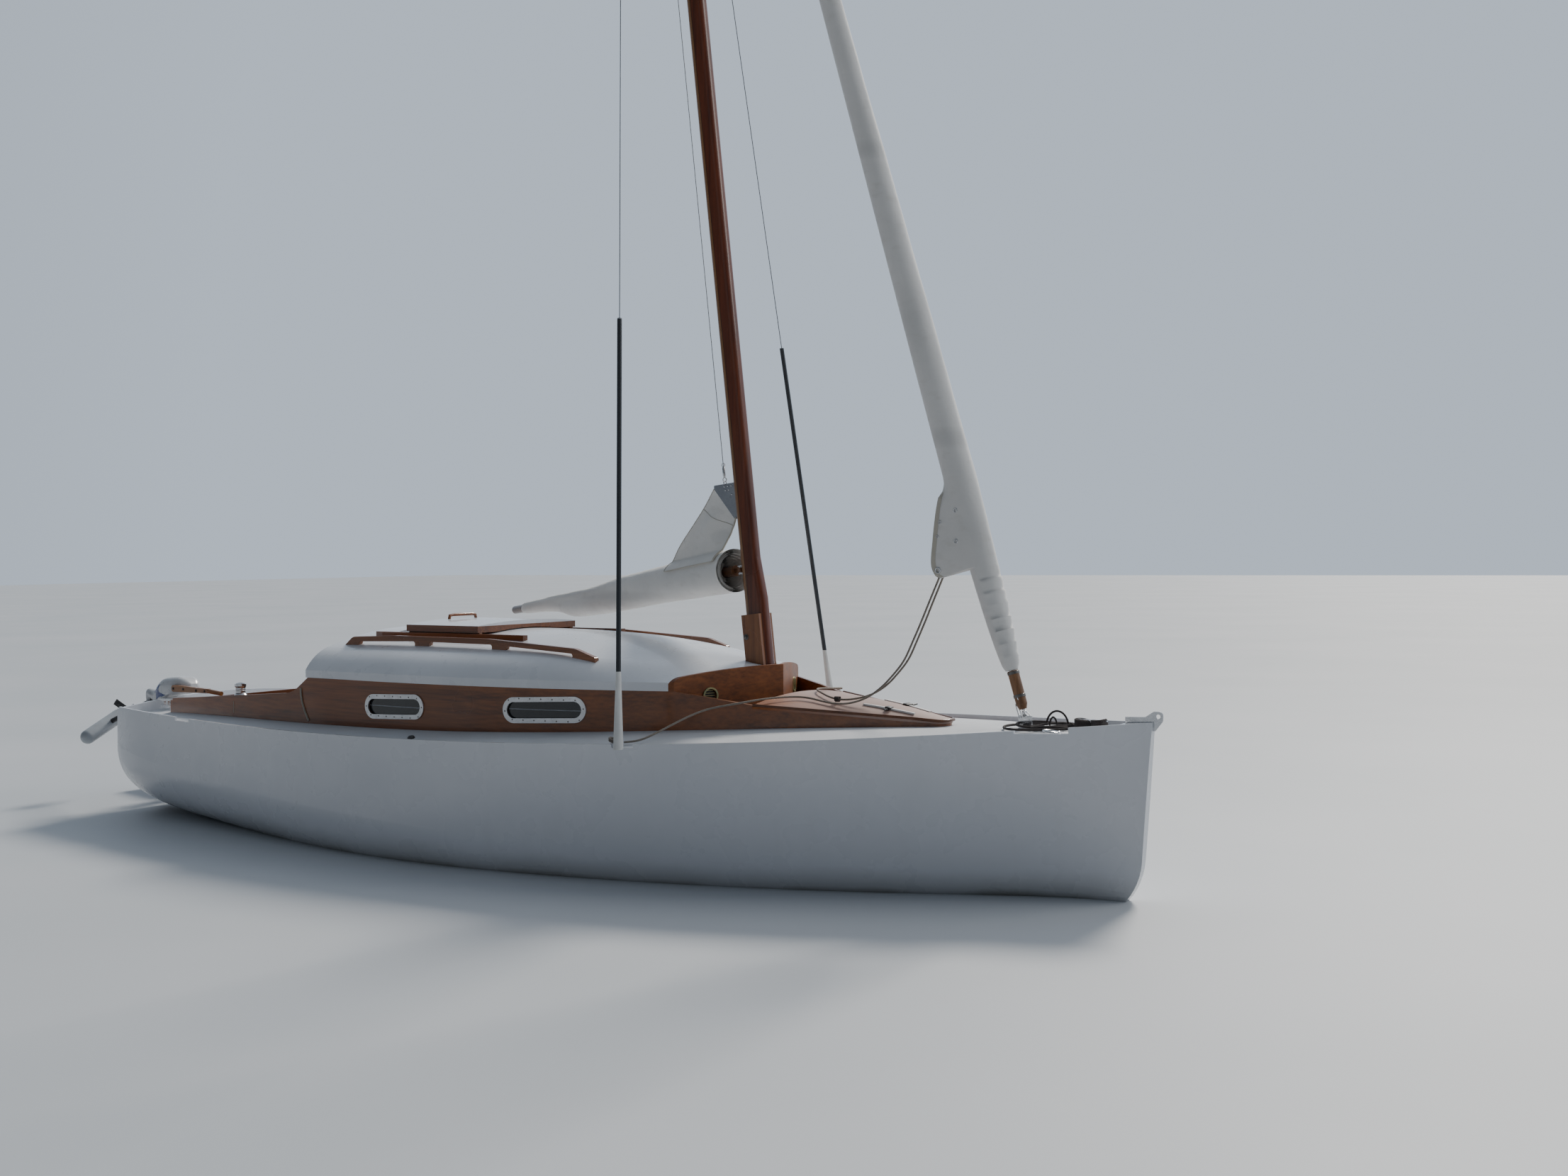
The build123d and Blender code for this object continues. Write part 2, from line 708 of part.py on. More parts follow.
def rail_top(x):
    """Height of the rail's upper edge."""
    for aft, fore in zip(RAIL_SHAPE[1:-2], RAIL_SHAPE[2:-1]):
        if aft[0] <= x <= fore[0]:
            return aft[1] + (x - aft[0]) / (fore[0] - aft[0]) * (fore[1] - aft[1])


RAIL_ROUNDS = [(RAIL_SHAPE[1], 15), (RAIL_SHAPE[2], 60), (RAIL_SHAPE[5], 120), (RAIL_SHAPE[6], 14)]
with BuildPart() as handrails:
    for side in SIDES.values():
        low, high = side * RAIL_Y - RAIL_HALF, side * RAIL_Y + RAIL_HALF
        add(side_block(RAIL_SHAPE, low, high, RAIL_ROUNDS))
        for aft, fore in RAIL_GAPS:
            gap = [
                (aft, 1000),
                (aft, rail_top(aft) - RAIL_GRIP),
                (fore, rail_top(fore) - RAIL_GRIP),
                (fore, 1000),
            ]
            add(side_block(gap, low - 5, high + 5, [(gap[1], 14), (gap[2], 14)]), mode=Mode.SUBTRACT)
    add(ROOF_OUTER, mode=Mode.SUBTRACT)
write(handrails, "handrails")

# Sliding hatch on two runners
RUNNER_Y, RUNNER_HALF, RUNNER_TOP = 420, 17.5, 1160
RUNNER_AFT, RUNNER_FORE, RUNNER_POINT = -1290, -130, 70
HATCH_AFT, HATCH_FORE, HATCH_HALF = -1050, -490, 410
HATCH_BASE, HATCH_EDGE, HATCH_CROWN = 1166, 1203, 1225
HATCH_BOARD, HATCH_TOP = 18, 12
ROOF_CLEAR = 1181
STRIP_HALF, STRIP_BASE = (372, 394), 1151

with BuildPart() as hatch_runners:
    for side in SIDES.values():
        with BuildSketch(Plane.XY.offset(1000)):
            with BuildLine():
                Polyline(
                    (RUNNER_FORE, side * (RUNNER_Y - RUNNER_HALF)),
                    (RUNNER_FORE, side * (RUNNER_Y + RUNNER_HALF)),
                    (RUNNER_AFT + RUNNER_POINT, side * (RUNNER_Y + RUNNER_HALF)),
                    (RUNNER_AFT, side * RUNNER_Y),
                    (RUNNER_AFT + RUNNER_POINT, side * (RUNNER_Y - RUNNER_HALF)),
                    close=True,
                )
            make_face()
        extrude(amount=RUNNER_TOP - 1000)
    add(ROOF_OUTER, mode=Mode.SUBTRACT)
write(hatch_runners, "hatch_runners")


def crowned_block(x_low, x_high, half, base, edge, crown):
    """A block with a cambered top."""
    with BuildPart() as block:
        with BuildSketch(Plane.YZ.offset(x_low)):
            with BuildLine():
                ThreePointArc((-half, edge), (0, crown), (half, edge))
                Polyline((half, edge), (half, base), (-half, base), (-half, edge))
            make_face()
        extrude(amount=x_high - x_low)
    return block.part


with BuildPart() as hatch_cover:
    add(crowned_block(HATCH_AFT, HATCH_FORE, HATCH_HALF, HATCH_BASE, HATCH_EDGE, HATCH_CROWN))
    add(
        crowned_block(
            HATCH_AFT + HATCH_BOARD,
            HATCH_FORE - HATCH_BOARD,
            HATCH_HALF - HATCH_BOARD,
            HATCH_BASE - 10,
            HATCH_EDGE - HATCH_TOP,
            HATCH_CROWN - HATCH_TOP,
        ),
        mode=Mode.SUBTRACT,
    )
    add(
        crowned_block(HATCH_AFT - 10, HATCH_FORE + 10, 450, 1000, ROOF_CLEAR - 46, ROOF_CLEAR),
        mode=Mode.SUBTRACT,
    )
    for side in SIDES.values():
        low, high = sorted(side * y for y in STRIP_HALF)
        add(box_part(HATCH_AFT + 5, HATCH_FORE - 5, low, high, STRIP_BASE, STRIP_BASE + 38))
write(hatch_cover, "hatch_cover")

# Tabernacle and mast
with BuildPart() as tabernacle:
    with BuildSketch(MAST.offset(-60)):
        Rectangle(STEP_DEPTH, MAST_WIDTH + 2 * CHEEK)
    extrude(amount=60)
    with BuildSketch(MAST.offset(-10)):
        with Locations((0, (MAST_WIDTH + CHEEK) / 2), (0, -(MAST_WIDTH + CHEEK) / 2)):
            Rectangle(CHEEK_DEPTH, CHEEK)
    extrude(amount=TABERNACLE_HEIGHT + 10)
    add(DECK_TOP, mode=Mode.SUBTRACT)
write(tabernacle, "tabernacle")

GROOVE_WIDTH, GROOVE_DEPTH, GROOVE_START = 10, 15, 700
MAST_ROUND = 30
with BuildPart() as mast:
    for start in (0, SWELL_LOW):
        with BuildSketch(MAST.offset(start)):
            with Locations((MAST_SWELL / 2, 0)):
                RectangleRounded(MAST_DEPTH + MAST_SWELL, MAST_WIDTH, MAST_ROUND)
        if start == 0:
            extrude(amount=SWELL_LOW)
    with BuildSketch(MAST.offset(SWELL_HIGH)):
        RectangleRounded(MAST_DEPTH, MAST_WIDTH, MAST_ROUND)
    loft()
    with BuildSketch(MAST.offset(SWELL_HIGH)):
        RectangleRounded(MAST_DEPTH, MAST_WIDTH, MAST_ROUND)
    extrude(amount=MAST_LENGTH - SWELL_HIGH)
    with BuildSketch(MAST.offset(GROOVE_START)):
        with Locations((-(MAST_DEPTH - GROOVE_DEPTH) / 2, 0)):
            Rectangle(GROOVE_DEPTH, GROOVE_WIDTH)
    extrude(amount=MAST_LENGTH, mode=Mode.SUBTRACT)
write(mast, "mast")


def mast_point(forward, port, height):
    """A point given along the mast's own directions, from its foot."""
    point = MAST.from_local_coords((forward, port, height))
    return point.X, point.Y, point.Z


# Gooseneck bracket, hounds band and masthead cap
LUG, LUG_LOW, LUG_END = 6, 17, 13
EYE_HALF, EYE, PIN_SMALL = 12, 14, 6
BAND, BAND_HEIGHT = 4, 34

with BuildPart() as mast_fittings:
    for start in (LUG_LOW, -LUG_LOW - LUG):
        with BuildSketch(MAST.offset(GOOSENECK + start)):
            with Locations((-(MAST_DEPTH / 2 + PIN_AFT) / 2, 0)):
                Rectangle(PIN_AFT - MAST_DEPTH / 2, 2 * LUG_END)
            with Locations((-PIN_AFT, 0)):
                Circle(LUG_END)
        extrude(amount=LUG)
    with BuildSketch(MAST.offset(GOOSENECK - LUG_LOW - LUG)):
        with Locations((-PIN_AFT, 0)):
            Circle(PIN_SMALL)
    extrude(amount=2 * (LUG_LOW + LUG))
    for start, height in ((HOUNDS - BAND_HEIGHT / 2, BAND_HEIGHT), (MAST_LENGTH - 20, 26)):
        with BuildSketch(MAST.offset(start)):
            RectangleRounded(MAST_DEPTH + 2 * BAND, MAST_WIDTH + 2 * BAND, MAST_ROUND + BAND)
        extrude(amount=height)
    add(mast.part, mode=Mode.SUBTRACT)
write(mast_fittings, "mast_fittings")

# Headboard of the mainsail, held in the mast's groove
HEADBOARD = [(-60, 1018), (-76, 1018), (-190, 1190), (-190, 1210), (-60, 1210)]
with BuildPart() as headboard:
    with BuildSketch(Plane(origin=MAST_FOOT, x_dir=MAST.x_dir, z_dir=(0, -1, 0)).offset(-3)) as board:
        with BuildLine():
            Polyline(*HEADBOARD, close=True)
        make_face()
        fillet(board.vertices().sort_by(Axis.X)[0:2], 6)
    extrude(amount=6)
    with BuildSketch(MAST.offset(HEADBOARD[0][1] + 4)):
        with Locations((-53, 0)):
            Rectangle(26, 8)
    extrude(amount=HEADBOARD[3][1] - HEADBOARD[0][1] - 8)
write(headboard, "headboard")

# Shrouds: a boot and a tube round the lower part of each wire
WIRE = 2.5
SHROUD_PARTS = [(0.0, 25), (0.048, 12.5), (0.27, 12)]
for name, side in SIDES.items():
    foot = (CHAINPLATE[0], side * CHAINPLATE[1], CHAINPLATE[2])
    head = mast_point(0, side * MAST_WIDTH / 2, HOUNDS)
    run = [b - a for a, b in zip(foot, head)]
    length = sqrt(sum(value**2 for value in run))
    line = Plane(origin=foot, z_dir=run)
    with BuildPart() as shroud:
        with BuildSketch(line):
            Circle(SHROUD_PARTS[0][1])
        with BuildSketch(line.offset(SHROUD_PARTS[1][0] * length)):
            Circle(SHROUD_PARTS[1][1])
        loft()
        with BuildSketch(line.offset(SHROUD_PARTS[1][0] * length)):
            Circle(SHROUD_PARTS[2][1])
        extrude(amount=(SHROUD_PARTS[2][0] - SHROUD_PARTS[1][0]) * length)
        with BuildSketch(line.offset(SHROUD_PARTS[2][0] * length)):
            Circle(WIRE)
        extrude(amount=(1 - SHROUD_PARTS[2][0]) * length)
        add(DECK_TOP, mode=Mode.SUBTRACT)
        add(hull_shell.part, mode=Mode.SUBTRACT)
        add(mast.part, mode=Mode.SUBTRACT)
        add(mast_fittings.part, mode=Mode.SUBTRACT)
    write(shroud, f"shroud_{name}")

# Forestay with the rolled jib: radius of the roll at each height
JIB = [
    (30, 1030),
    (42, 1060),
    (59, 1225),
    (70, 1460),
    (78, 1830),
    (75, 2400),
    (54, 4360),
    (38, 6000),
    (16, 7860),
]
stay_top = mast_point(MAST_DEPTH / 2 + 2, 0, HOUNDS)
stay_run = [b - a for a, b in zip(STAY_FOOT, stay_top)]
stay_length = sqrt(sum(value**2 for value in stay_run))
stay_rise = stay_run[2] / stay_length
stay_side = Plane(origin=STAY_FOOT, x_dir=(stay_rise, 0, -stay_run[0] / stay_length), z_dir=(0, -1, 0))
STAY = Plane(origin=STAY_FOOT, z_dir=stay_run)


def along_stay(z):
    """Distance up the stay at a height."""
    return (z - STAY_FOOT[2]) / stay_rise


FLAP = [(-55, 1890), (-265, 1500), (-190, 1462), (-40, 1455)]
FLAP_HALF = 6
with BuildPart() as jib_roll:
    with BuildSketch(stay_side):
        with BuildLine():
            edge = [(radius, along_stay(z)) for radius, z in JIB]
            Polyline((0, edge[0][1]), *edge, (0, edge[-1][1]), close=True)
        make_face()
    revolve(axis=Axis(STAY_FOOT, stay_run))
    with BuildSketch(stay_side.offset(-FLAP_HALF)):
        with BuildLine():
            Polyline(*[(x, along_stay(z)) for x, z in FLAP], close=True)
        make_face()
    extrude(amount=2 * FLAP_HALF)
write(jib_roll, "jib_roll")

SPAR, SPAR_LOW, SPAR_HIGH = 27, 850, 1029
with BuildPart() as jib_spar:
    with BuildSketch(STAY.offset(along_stay(SPAR_LOW))):
        Circle(SPAR - 9)
    with BuildSketch(STAY.offset(along_stay(SPAR_LOW) + 25)):
        Circle(SPAR)
    loft()
    with BuildSketch(STAY.offset(along_stay(SPAR_LOW) + 25)):
        Circle(SPAR)
    extrude(amount=along_stay(SPAR_HIGH) - along_stay(SPAR_LOW) - 25)
write(jib_spar, "jib_spar")

with BuildPart() as forestay:
    with BuildSketch(STAY):
        Circle(WIRE)
    extrude(amount=stay_length)
    add(jib_roll.part, mode=Mode.SUBTRACT)
    add(jib_spar.part, mode=Mode.SUBTRACT)
    add(box_part(STAY_FOOT[0] - 34, STAY_FOOT[0] + 34, -4, 4, 700, STAY_FOOT[2] + 8))
    add(mast_fittings.part, mode=Mode.SUBTRACT)
    add(mast.part, mode=Mode.SUBTRACT)
    add(DECK_TOP, mode=Mode.SUBTRACT)
write(forestay, "forestay")

# Boom: directions of the spar at rest, swung to port
FORE = (cos(radians(RAKE)), 0, sin(radians(RAKE)))
PIN_POINT = mast_point(-PIN_AFT, 0, GOOSENECK)
swing, lift = radians(BOOM_SWING), radians(BOOM_LIFT)
level = [-cos(swing) * FORE[0], sin(swing), -cos(swing) * FORE[2]]
BOOM_RUN = [cos(lift) * a + sin(lift) * b for a, b in zip(level, AXIS)]
BOOM_UP = [cos(lift) * b - sin(lift) * a for a, b in zip(level, AXIS)]
BOOM = Plane(origin=PIN_POINT, x_dir=BOOM_UP, z_dir=BOOM_RUN)
BOOM_SIDE = Plane(origin=PIN_POINT, x_dir=BOOM_RUN, z_dir=tuple(BOOM.y_dir))
SPAR_START, BOOM_RADIUS = 45, 28

with BuildPart() as boom_spar:
    with BuildSketch(BOOM.offset(SPAR_START)):
        Circle(BOOM_RADIUS)
    extrude(amount=BOOM_LENGTH - SPAR_START)
    with BuildSketch(BOOM.offset(5)):
        Rectangle(2 * EYE_HALF - 2, 16)
    extrude(amount=SPAR_START)
    with BuildSketch(MAST.offset(GOOSENECK - EYE_HALF)):
        with Locations((-PIN_AFT, 0)):
            Circle(EYE)
    extrude(amount=2 * EYE_HALF)
    with BuildSketch(MAST.offset(GOOSENECK - 20)):
        with Locations((-PIN_AFT, 0)):
            Circle(PIN_SMALL + 0.5)
    extrude(amount=40, mode=Mode.SUBTRACT)
write(boom_spar, "boom_spar")

# Sail rolled round the boom: distance from the pin and radius
ROLL = [(55, 112), (120, 115), (700, 104), (1500, 84), (2050, 50), (3150, 43), (3190, 34)]
with BuildPart() as mainsail_roll:
    with BuildSketch(BOOM_SIDE):
        with BuildLine():
            Polyline((ROLL[0][0], 0), *ROLL, (ROLL[-1][0], 0), close=True)
        make_face()
    revolve(axis=Axis(PIN_POINT, BOOM_RUN))
    with BuildSketch(BOOM):
        Circle(BOOM_RADIUS + 0.5)
    extrude(amount=BOOM_LENGTH, mode=Mode.SUBTRACT)
write(mainsail_roll, "mainsail_roll")

HEAD_CLOTH = [(60, 60), (700, 60), (125, 262), (75, 262)]
with BuildPart() as sail_head:
    with BuildSketch(BOOM_SIDE.offset(-3)):
        with BuildLine():
            Polyline(*HEAD_CLOTH, close=True)
        make_face()
    extrude(amount=6)
    add(mainsail_roll.part, mode=Mode.SUBTRACT)
write(sail_head, "sail_head")

# Rudder: two pins on the transom, the head with its cheeks, tiller and blade
GUDGEONS = (200, 500)
HEAD_LOW, HEAD_HIGH, CORE_LOW = 120, 640, 175
CHEEK_GAP, HEAD_CHEEK = 16, 14
HEAD_FORE, HEAD_AFT = -3330, -3490
TILLER_LOW, TILLER_HIGH, TILLER_TIP = 580, 618, -2245
BLADE_HALF = 10

with BuildPart() as rudder_gudgeons:
    for z in GUDGEONS:
        with BuildSketch(Plane.XY.offset(z - 3)):
            with Locations(((RUDDER_X - HALF) / 2, 0)):
                Rectangle(-RUDDER_X - HALF, 36)
            with Locations((RUDDER_X, 0)):
                Circle(18)
        extrude(amount=6)
        with BuildSketch(Plane.XY.offset(z)):
            with Locations((RUDDER_X, 0)):
                Circle(PIN_SMALL)
        extrude(amount=44)
        add(box_part(-HALF - 6, -HALF, -30, 30, z - 30, z + 30))
write(rudder_gudgeons, "rudder_gudgeons")

with BuildPart() as rudder_head:
    for side in SIDES.values():
        low, high = sorted((side * CHEEK_GAP, side * (CHEEK_GAP + HEAD_CHEEK)))
        cheek = [
            (HEAD_FORE, HEAD_LOW),
            (HEAD_FORE, HEAD_HIGH),
            (HEAD_AFT + 30, HEAD_HIGH),
            (HEAD_AFT, 300),
            (HEAD_AFT, HEAD_LOW),
        ]
        add(side_block(cheek, low, high, [(cheek[2], 30), (cheek[4], 60)]))
    core = (HEAD_FORE - 20, HEAD_FORE, -CHEEK_GAP, CHEEK_GAP, CORE_LOW, TILLER_LOW - 2)
    add(box_part(*core))
    for z in GUDGEONS:
        with BuildSketch(Plane.XY.offset(z + 9)):
            with Locations(((RUDDER_X + HEAD_FORE) / 2, 0)):
                Rectangle(RUDDER_X - HEAD_FORE, 28)
            with Locations((RUDDER_X, 0)):
                Circle(14)
                Circle(PIN_SMALL + 0.5, mode=Mode.SUBTRACT)
        extrude(amount=30)
        with BuildSketch(Plane.XY.offset(z - 20)):
            with Locations((RUDDER_X, 0)):
                Circle(PIN_SMALL + 0.5)
        extrude(amount=80, mode=Mode.SUBTRACT)
    with BuildSketch(Plane.XZ.offset(-CHEEK_GAP - 5)):
        with Locations((BLADE_PIVOT[0], BLADE_PIVOT[2])):
            Circle(PIN_SMALL)
    extrude(amount=2 * CHEEK_GAP + 10)
write(rudder_head, "rudder_head")

with BuildPart() as tiller:
    add(box_part(HEAD_AFT + 60, HEAD_FORE + 60, -CHEEK_GAP, CHEEK_GAP, TILLER_LOW, TILLER_HIGH))
    with BuildSketch(Plane.YZ.offset(HEAD_FORE + 60)):
        with Locations((0, (TILLER_LOW + TILLER_HIGH) / 2)):
            RectangleRounded(2 * CHEEK_GAP, TILLER_HIGH - TILLER_LOW, 10)
    with BuildSketch(Plane.YZ.offset(TILLER_TIP)):
        with Locations((0, (TILLER_LOW + TILLER_HIGH) / 2)):
            RectangleRounded(28, 28, 10)
    loft()
write(tiller, "tiller")

# Blade outline when lowered, as steps from its pivot
BLADE = [(58, 20), (58, -70), (88, -105), (88, -560), (40, -600), (-105, -600), (-140, -540), (-140, -105)]
BLADE += [(-62, -70), (-62, 20)]
raised = radians(BLADE_LIFT)
turned = [
    (
        BLADE_PIVOT[0] + x * cos(raised) + z * sin(raised),
        BLADE_PIVOT[2] - x * sin(raised) + z * cos(raised),
    )
    for x, z in BLADE
]
with BuildPart() as rudder_blade:
    add(side_block(turned, -BLADE_HALF, BLADE_HALF, [(turned[0], 40), (turned[9], 40)]))
    with BuildSketch(Plane.XZ.offset(-BLADE_HALF - 5)):
        with Locations((BLADE_PIVOT[0], BLADE_PIVOT[2])):
            Circle(PIN_SMALL + 0.5)
    extrude(amount=2 * BLADE_HALF + 10, mode=Mode.SUBTRACT)
write(rudder_blade, "rudder_blade")

# Outboard: clamp on the transom, tilting swivel with the head, turning shaft with the pod
tilt, steer = radians(TILT), radians(STEER)
SHAFT_UP = (sin(tilt), 0, cos(tilt))
MOTOR = Plane(origin=MOTOR_HEAD, x_dir=(cos(tilt), 0, -sin(tilt)), z_dir=SHAFT_UP)
NOSE = (cos(steer) * cos(tilt), -sin(steer), -cos(steer) * sin(tilt))
SHAFT_RADIUS, POD_RADIUS, POD_NOSE, POD_TAIL = 16, 48, 240, 150
CLAMP_HALF, LUG_Y, LUG_WALL = 70, 50, 12
HUB, SLEEVE = 20, 28

with BuildPart() as outboard_clamp:
    add(box_part(-HALF - 22, -HALF, MOTOR_Y - CLAMP_HALF, MOTOR_Y + CLAMP_HALF, 400, 640))
    for low in (LUG_Y, -LUG_Y - LUG_WALL):
        lug = [
            (-HALF - 22, 430),
            (-HALF - 22, 530),
            (TILT_PIVOT[0] - 16, TILT_PIVOT[2] + 16),
            (TILT_PIVOT[0] - 16, TILT_PIVOT[2] - 16),
        ]
        add(side_block(lug, MOTOR_Y + low, MOTOR_Y + low + LUG_WALL, [(lug[2], 12), (lug[3], 12)]))
    with BuildSketch(Plane.XZ.offset(-MOTOR_Y - LUG_Y - LUG_WALL)):
        with Locations((TILT_PIVOT[0], TILT_PIVOT[2])):
            Circle(PIN)
    extrude(amount=2 * (LUG_Y + LUG_WALL))
write(outboard_clamp, "outboard_clamp")

pivot_local = MOTOR.to_local_coords(Vector(*TILT_PIVOT))
with BuildPart() as outboard_swivel:
    with BuildSketch(Plane.XZ.offset(-MOTOR_Y - LUG_Y + 6)):
        with Locations((TILT_PIVOT[0], TILT_PIVOT[2])):
            Circle(HUB)
    extrude(amount=2 * LUG_Y - 12)
    with BuildSketch(MOTOR.offset(pivot_local.Z - 18)):
        with Locations((pivot_local.X / 2, 0)):
            Rectangle(pivot_local.X, 44)
    extrude(amount=36)
    with BuildSketch(MOTOR.offset(pivot_local.Z - 60)):
        Circle(SLEEVE)
    extrude(amount=100)
    with BuildSketch(MOTOR.offset(pivot_local.Z - 100)):
        Circle(SHAFT_RADIUS + 0.5)
    extrude(amount=300, mode=Mode.SUBTRACT)
    with BuildSketch(Plane.XZ.offset(-MOTOR_Y - LUG_Y)):
        with Locations((TILT_PIVOT[0], TILT_PIVOT[2])):
            Circle(PIN + 0.5)
    extrude(amount=2 * LUG_Y, mode=Mode.SUBTRACT)
write(outboard_swivel, "outboard_swivel")

# Streamlined head, in sections across the shaft: distance up it, half height, half width, offset
HEAD = [
    (-215, 30, 34, -5),
    (-137, 44, 52, -12),
    (-20, 58, 78, -9),
    (60, 60, 90, -13),
    (120, 62, 92, 2),
    (190, 54, 82, 18),
    (236, 30, 52, 36),
    (250, 12, 24, 44),
]
HEAD_ROUND = 0.9
SHAFT_TOP = -77
with BuildPart() as outboard_head:
    for up, half_height, half_width, shift in HEAD:
        with BuildSketch(MOTOR.offset(up)):
            with Locations((shift, 0)):
                RectangleRounded(2 * half_height, 2 * half_width, half_height * HEAD_ROUND)
    loft()
    add(outboard_swivel.part, mode=Mode.SUBTRACT)
    with BuildSketch(MOTOR.offset(HEAD[0][0] - 20)):
        Circle(SHAFT_RADIUS + 1)
    extrude(amount=SHAFT_TOP + 6 - HEAD[0][0] + 20, mode=Mode.SUBTRACT)
write(outboard_head, "outboard_head")

# Flat arm on the head's starboard side, with a round grip
ARM_Y = (-456, -430)
ARM_BAR = [(-3150, 736), (-3150, 780), (-2960, 774), (-2790, 768), (-2790, 740), (-2960, 738)]
GRIP_FROM, GRIP_TO, GRIP_RADIUS = (-2800, 754), (-2665, 742), 14
grip_run = (GRIP_TO[0] - GRIP_FROM[0], 0, GRIP_TO[1] - GRIP_FROM[1])
with BuildPart() as outboard_arm:
    add(side_block(ARM_BAR, ARM_Y[0], ARM_Y[1], [(ARM_BAR[0], 20), (ARM_BAR[1], 20)]))
    with BuildSketch(Plane(origin=(GRIP_FROM[0], sum(ARM_Y) / 2, GRIP_FROM[1]), z_dir=grip_run)):
        Circle(GRIP_RADIUS)
    extrude(amount=sqrt(grip_run[0] ** 2 + grip_run[2] ** 2))
    add(outboard_head.part, mode=Mode.SUBTRACT)
write(outboard_arm, "outboard_arm")

with BuildPart() as outboard_shaft:
    with BuildSketch(MOTOR.offset(-SHAFT_LENGTH)):
        Circle(SHAFT_RADIUS)
    extrude(amount=SHAFT_LENGTH + SHAFT_TOP)
pod_centre = MOTOR.offset(-SHAFT_LENGTH).origin
POD = Plane(origin=pod_centre, x_dir=SHAFT_UP, z_dir=NOSE)
with BuildPart() as outboard_pod:
    with BuildSketch(POD.offset(-POD_TAIL)):
        Circle(POD_RADIUS - 18)
    with BuildSketch(POD.offset(-POD_TAIL + 50)):
        Circle(POD_RADIUS)
    loft()
    with BuildSketch(POD.offset(-POD_TAIL + 50)):
        Circle(POD_RADIUS)
    extrude(amount=POD_TAIL + POD_NOSE - 50 - POD_RADIUS)
    with Locations(POD.offset(POD_NOSE - POD_RADIUS)):
        Sphere(POD_RADIUS)
    with BuildSketch(POD.offset(-POD_TAIL - 48)):
        Circle(5)
    extrude(amount=60)
    add(outboard_shaft.part, mode=Mode.SUBTRACT)
write(outboard_shaft, "outboard_shaft")
write(outboard_pod, "outboard_pod")

PROP_RADIUS, PROP_PITCH, PROP_HUB = 105, 28, 22
with BuildPart() as propeller:
    hub = POD.offset(-POD_TAIL - 46)
    with BuildSketch(hub):
        Circle(PROP_HUB)
    extrude(amount=40)
    middle = POD.offset(-POD_TAIL - 26)
    for turn in (0, 120, 240):
        a, pitch = radians(turn), radians(PROP_PITCH)
        out = Vector(*middle.x_dir) * cos(a) + Vector(*middle.y_dir) * sin(a)
        across = Vector(*middle.y_dir) * cos(a) - Vector(*middle.x_dir) * sin(a)
        chord = across * cos(pitch) + Vector(*middle.z_dir) * sin(pitch)
        with BuildSketch(Plane(origin=middle.origin + out * 10, x_dir=chord, z_dir=out)):
            RectangleRounded(44, 5, 2)
        extrude(amount=PROP_RADIUS - 10)
    with BuildSketch(hub.offset(-5)):
        Circle(5.5)
    extrude(amount=60, mode=Mode.SUBTRACT)
write(propeller, "propeller")

# Sheet winches on shelves inside the coamings
WINCH_X, WINCH_Y, WINCH_BASE = -2175, 682, 755
WINCH = [(0, 37), (20, 37), (30, 28), (62, 28), (72, 34), (85, 34)]
with BuildPart() as winch_shelves:
    for side in SIDES.values():
        low, high = sorted((side * 610, side * 800))
        add(box_part(WINCH_X - 75, WINCH_X + 75, low, high, WINCH_BASE - 28, WINCH_BASE))
    add(TRUNK_INNER, mode=Mode.INTERSECT)
write(winch_shelves, "winch_shelves")
with BuildPart() as winches:
    for side in SIDES.values():
        base = Plane(
            origin=(WINCH_X, side * WINCH_Y, WINCH_BASE), x_dir=(1, 0, 0), z_dir=(0, -1, 0)
        )
        with BuildSketch(base):
            with BuildLine():
                edge = [(radius, height) for height, radius in WINCH]
                Polyline((0, 0), *edge, (0, edge[-1][1]), close=True)
            make_face()
        revolve(axis=Axis(base.origin, (0, 0, 1)))
write(winches, "winches")

# Stem head plate with an eye, and deck cleats
EYE_HOLE = (3276, 846, 10)
STEM_PLATE = [(3120, 780), (3120, 838), (3215, 842), (3255, 868), (3298, 868), (3298, 825), (3262, 780)]
with BuildPart() as stem_plate:
    add(side_block(STEM_PLATE, -3, 3, [(STEM_PLATE[4], 18), (STEM_PLATE[5], 18)]))
    with BuildSketch(Plane.XZ.offset(-10)):
        with Locations((EYE_HOLE[0], EYE_HOLE[1])):
            Circle(EYE_HOLE[2])
    extrude(amount=20, mode=Mode.SUBTRACT)
    add(hull_shell.part, mode=Mode.SUBTRACT)
    add(deck.part, mode=Mode.SUBTRACT)
write(stem_plate, "stem_plate")

# Cleats: x, y, length of the horns and height
CLEATS = [
    (2960, 0, 150, 44),
    (-3060, 560, 150, 44),
    (-3060, -560, 150, 44),
    (890, 905, 84, 24),
    (890, -905, 84, 24),
]
with BuildPart() as cleats:
    for x, y, length, height in CLEATS:
        z = deck_crown(x) - y**2 / (2 * DECK_CAMBER)
        reach, foot, leg = length / 2, 0.3 * length, 0.17 * length
        add(box_part(x - foot, x + foot, y - 11, y + 11, z - 12, z + 6))
        add(box_part(x - leg, x - leg / 2, y - 8, y + 8, z + 2, z + height - 12))
        add(box_part(x + leg / 2, x + leg, y - 8, y + 8, z + 2, z + height - 12))
        horn = [
            (x - reach, z + height - 8),
            (x - leg, z + height - 14),
            (x + leg, z + height - 14),
            (x + reach, z + height - 8),
            (x + reach - 5, z + height),
            (x - reach + 5, z + height),
        ]
        add(side_block(horn, y - 8, y + 8))
    add(DECK_TOP, mode=Mode.SUBTRACT)
write(cleats, "cleats")

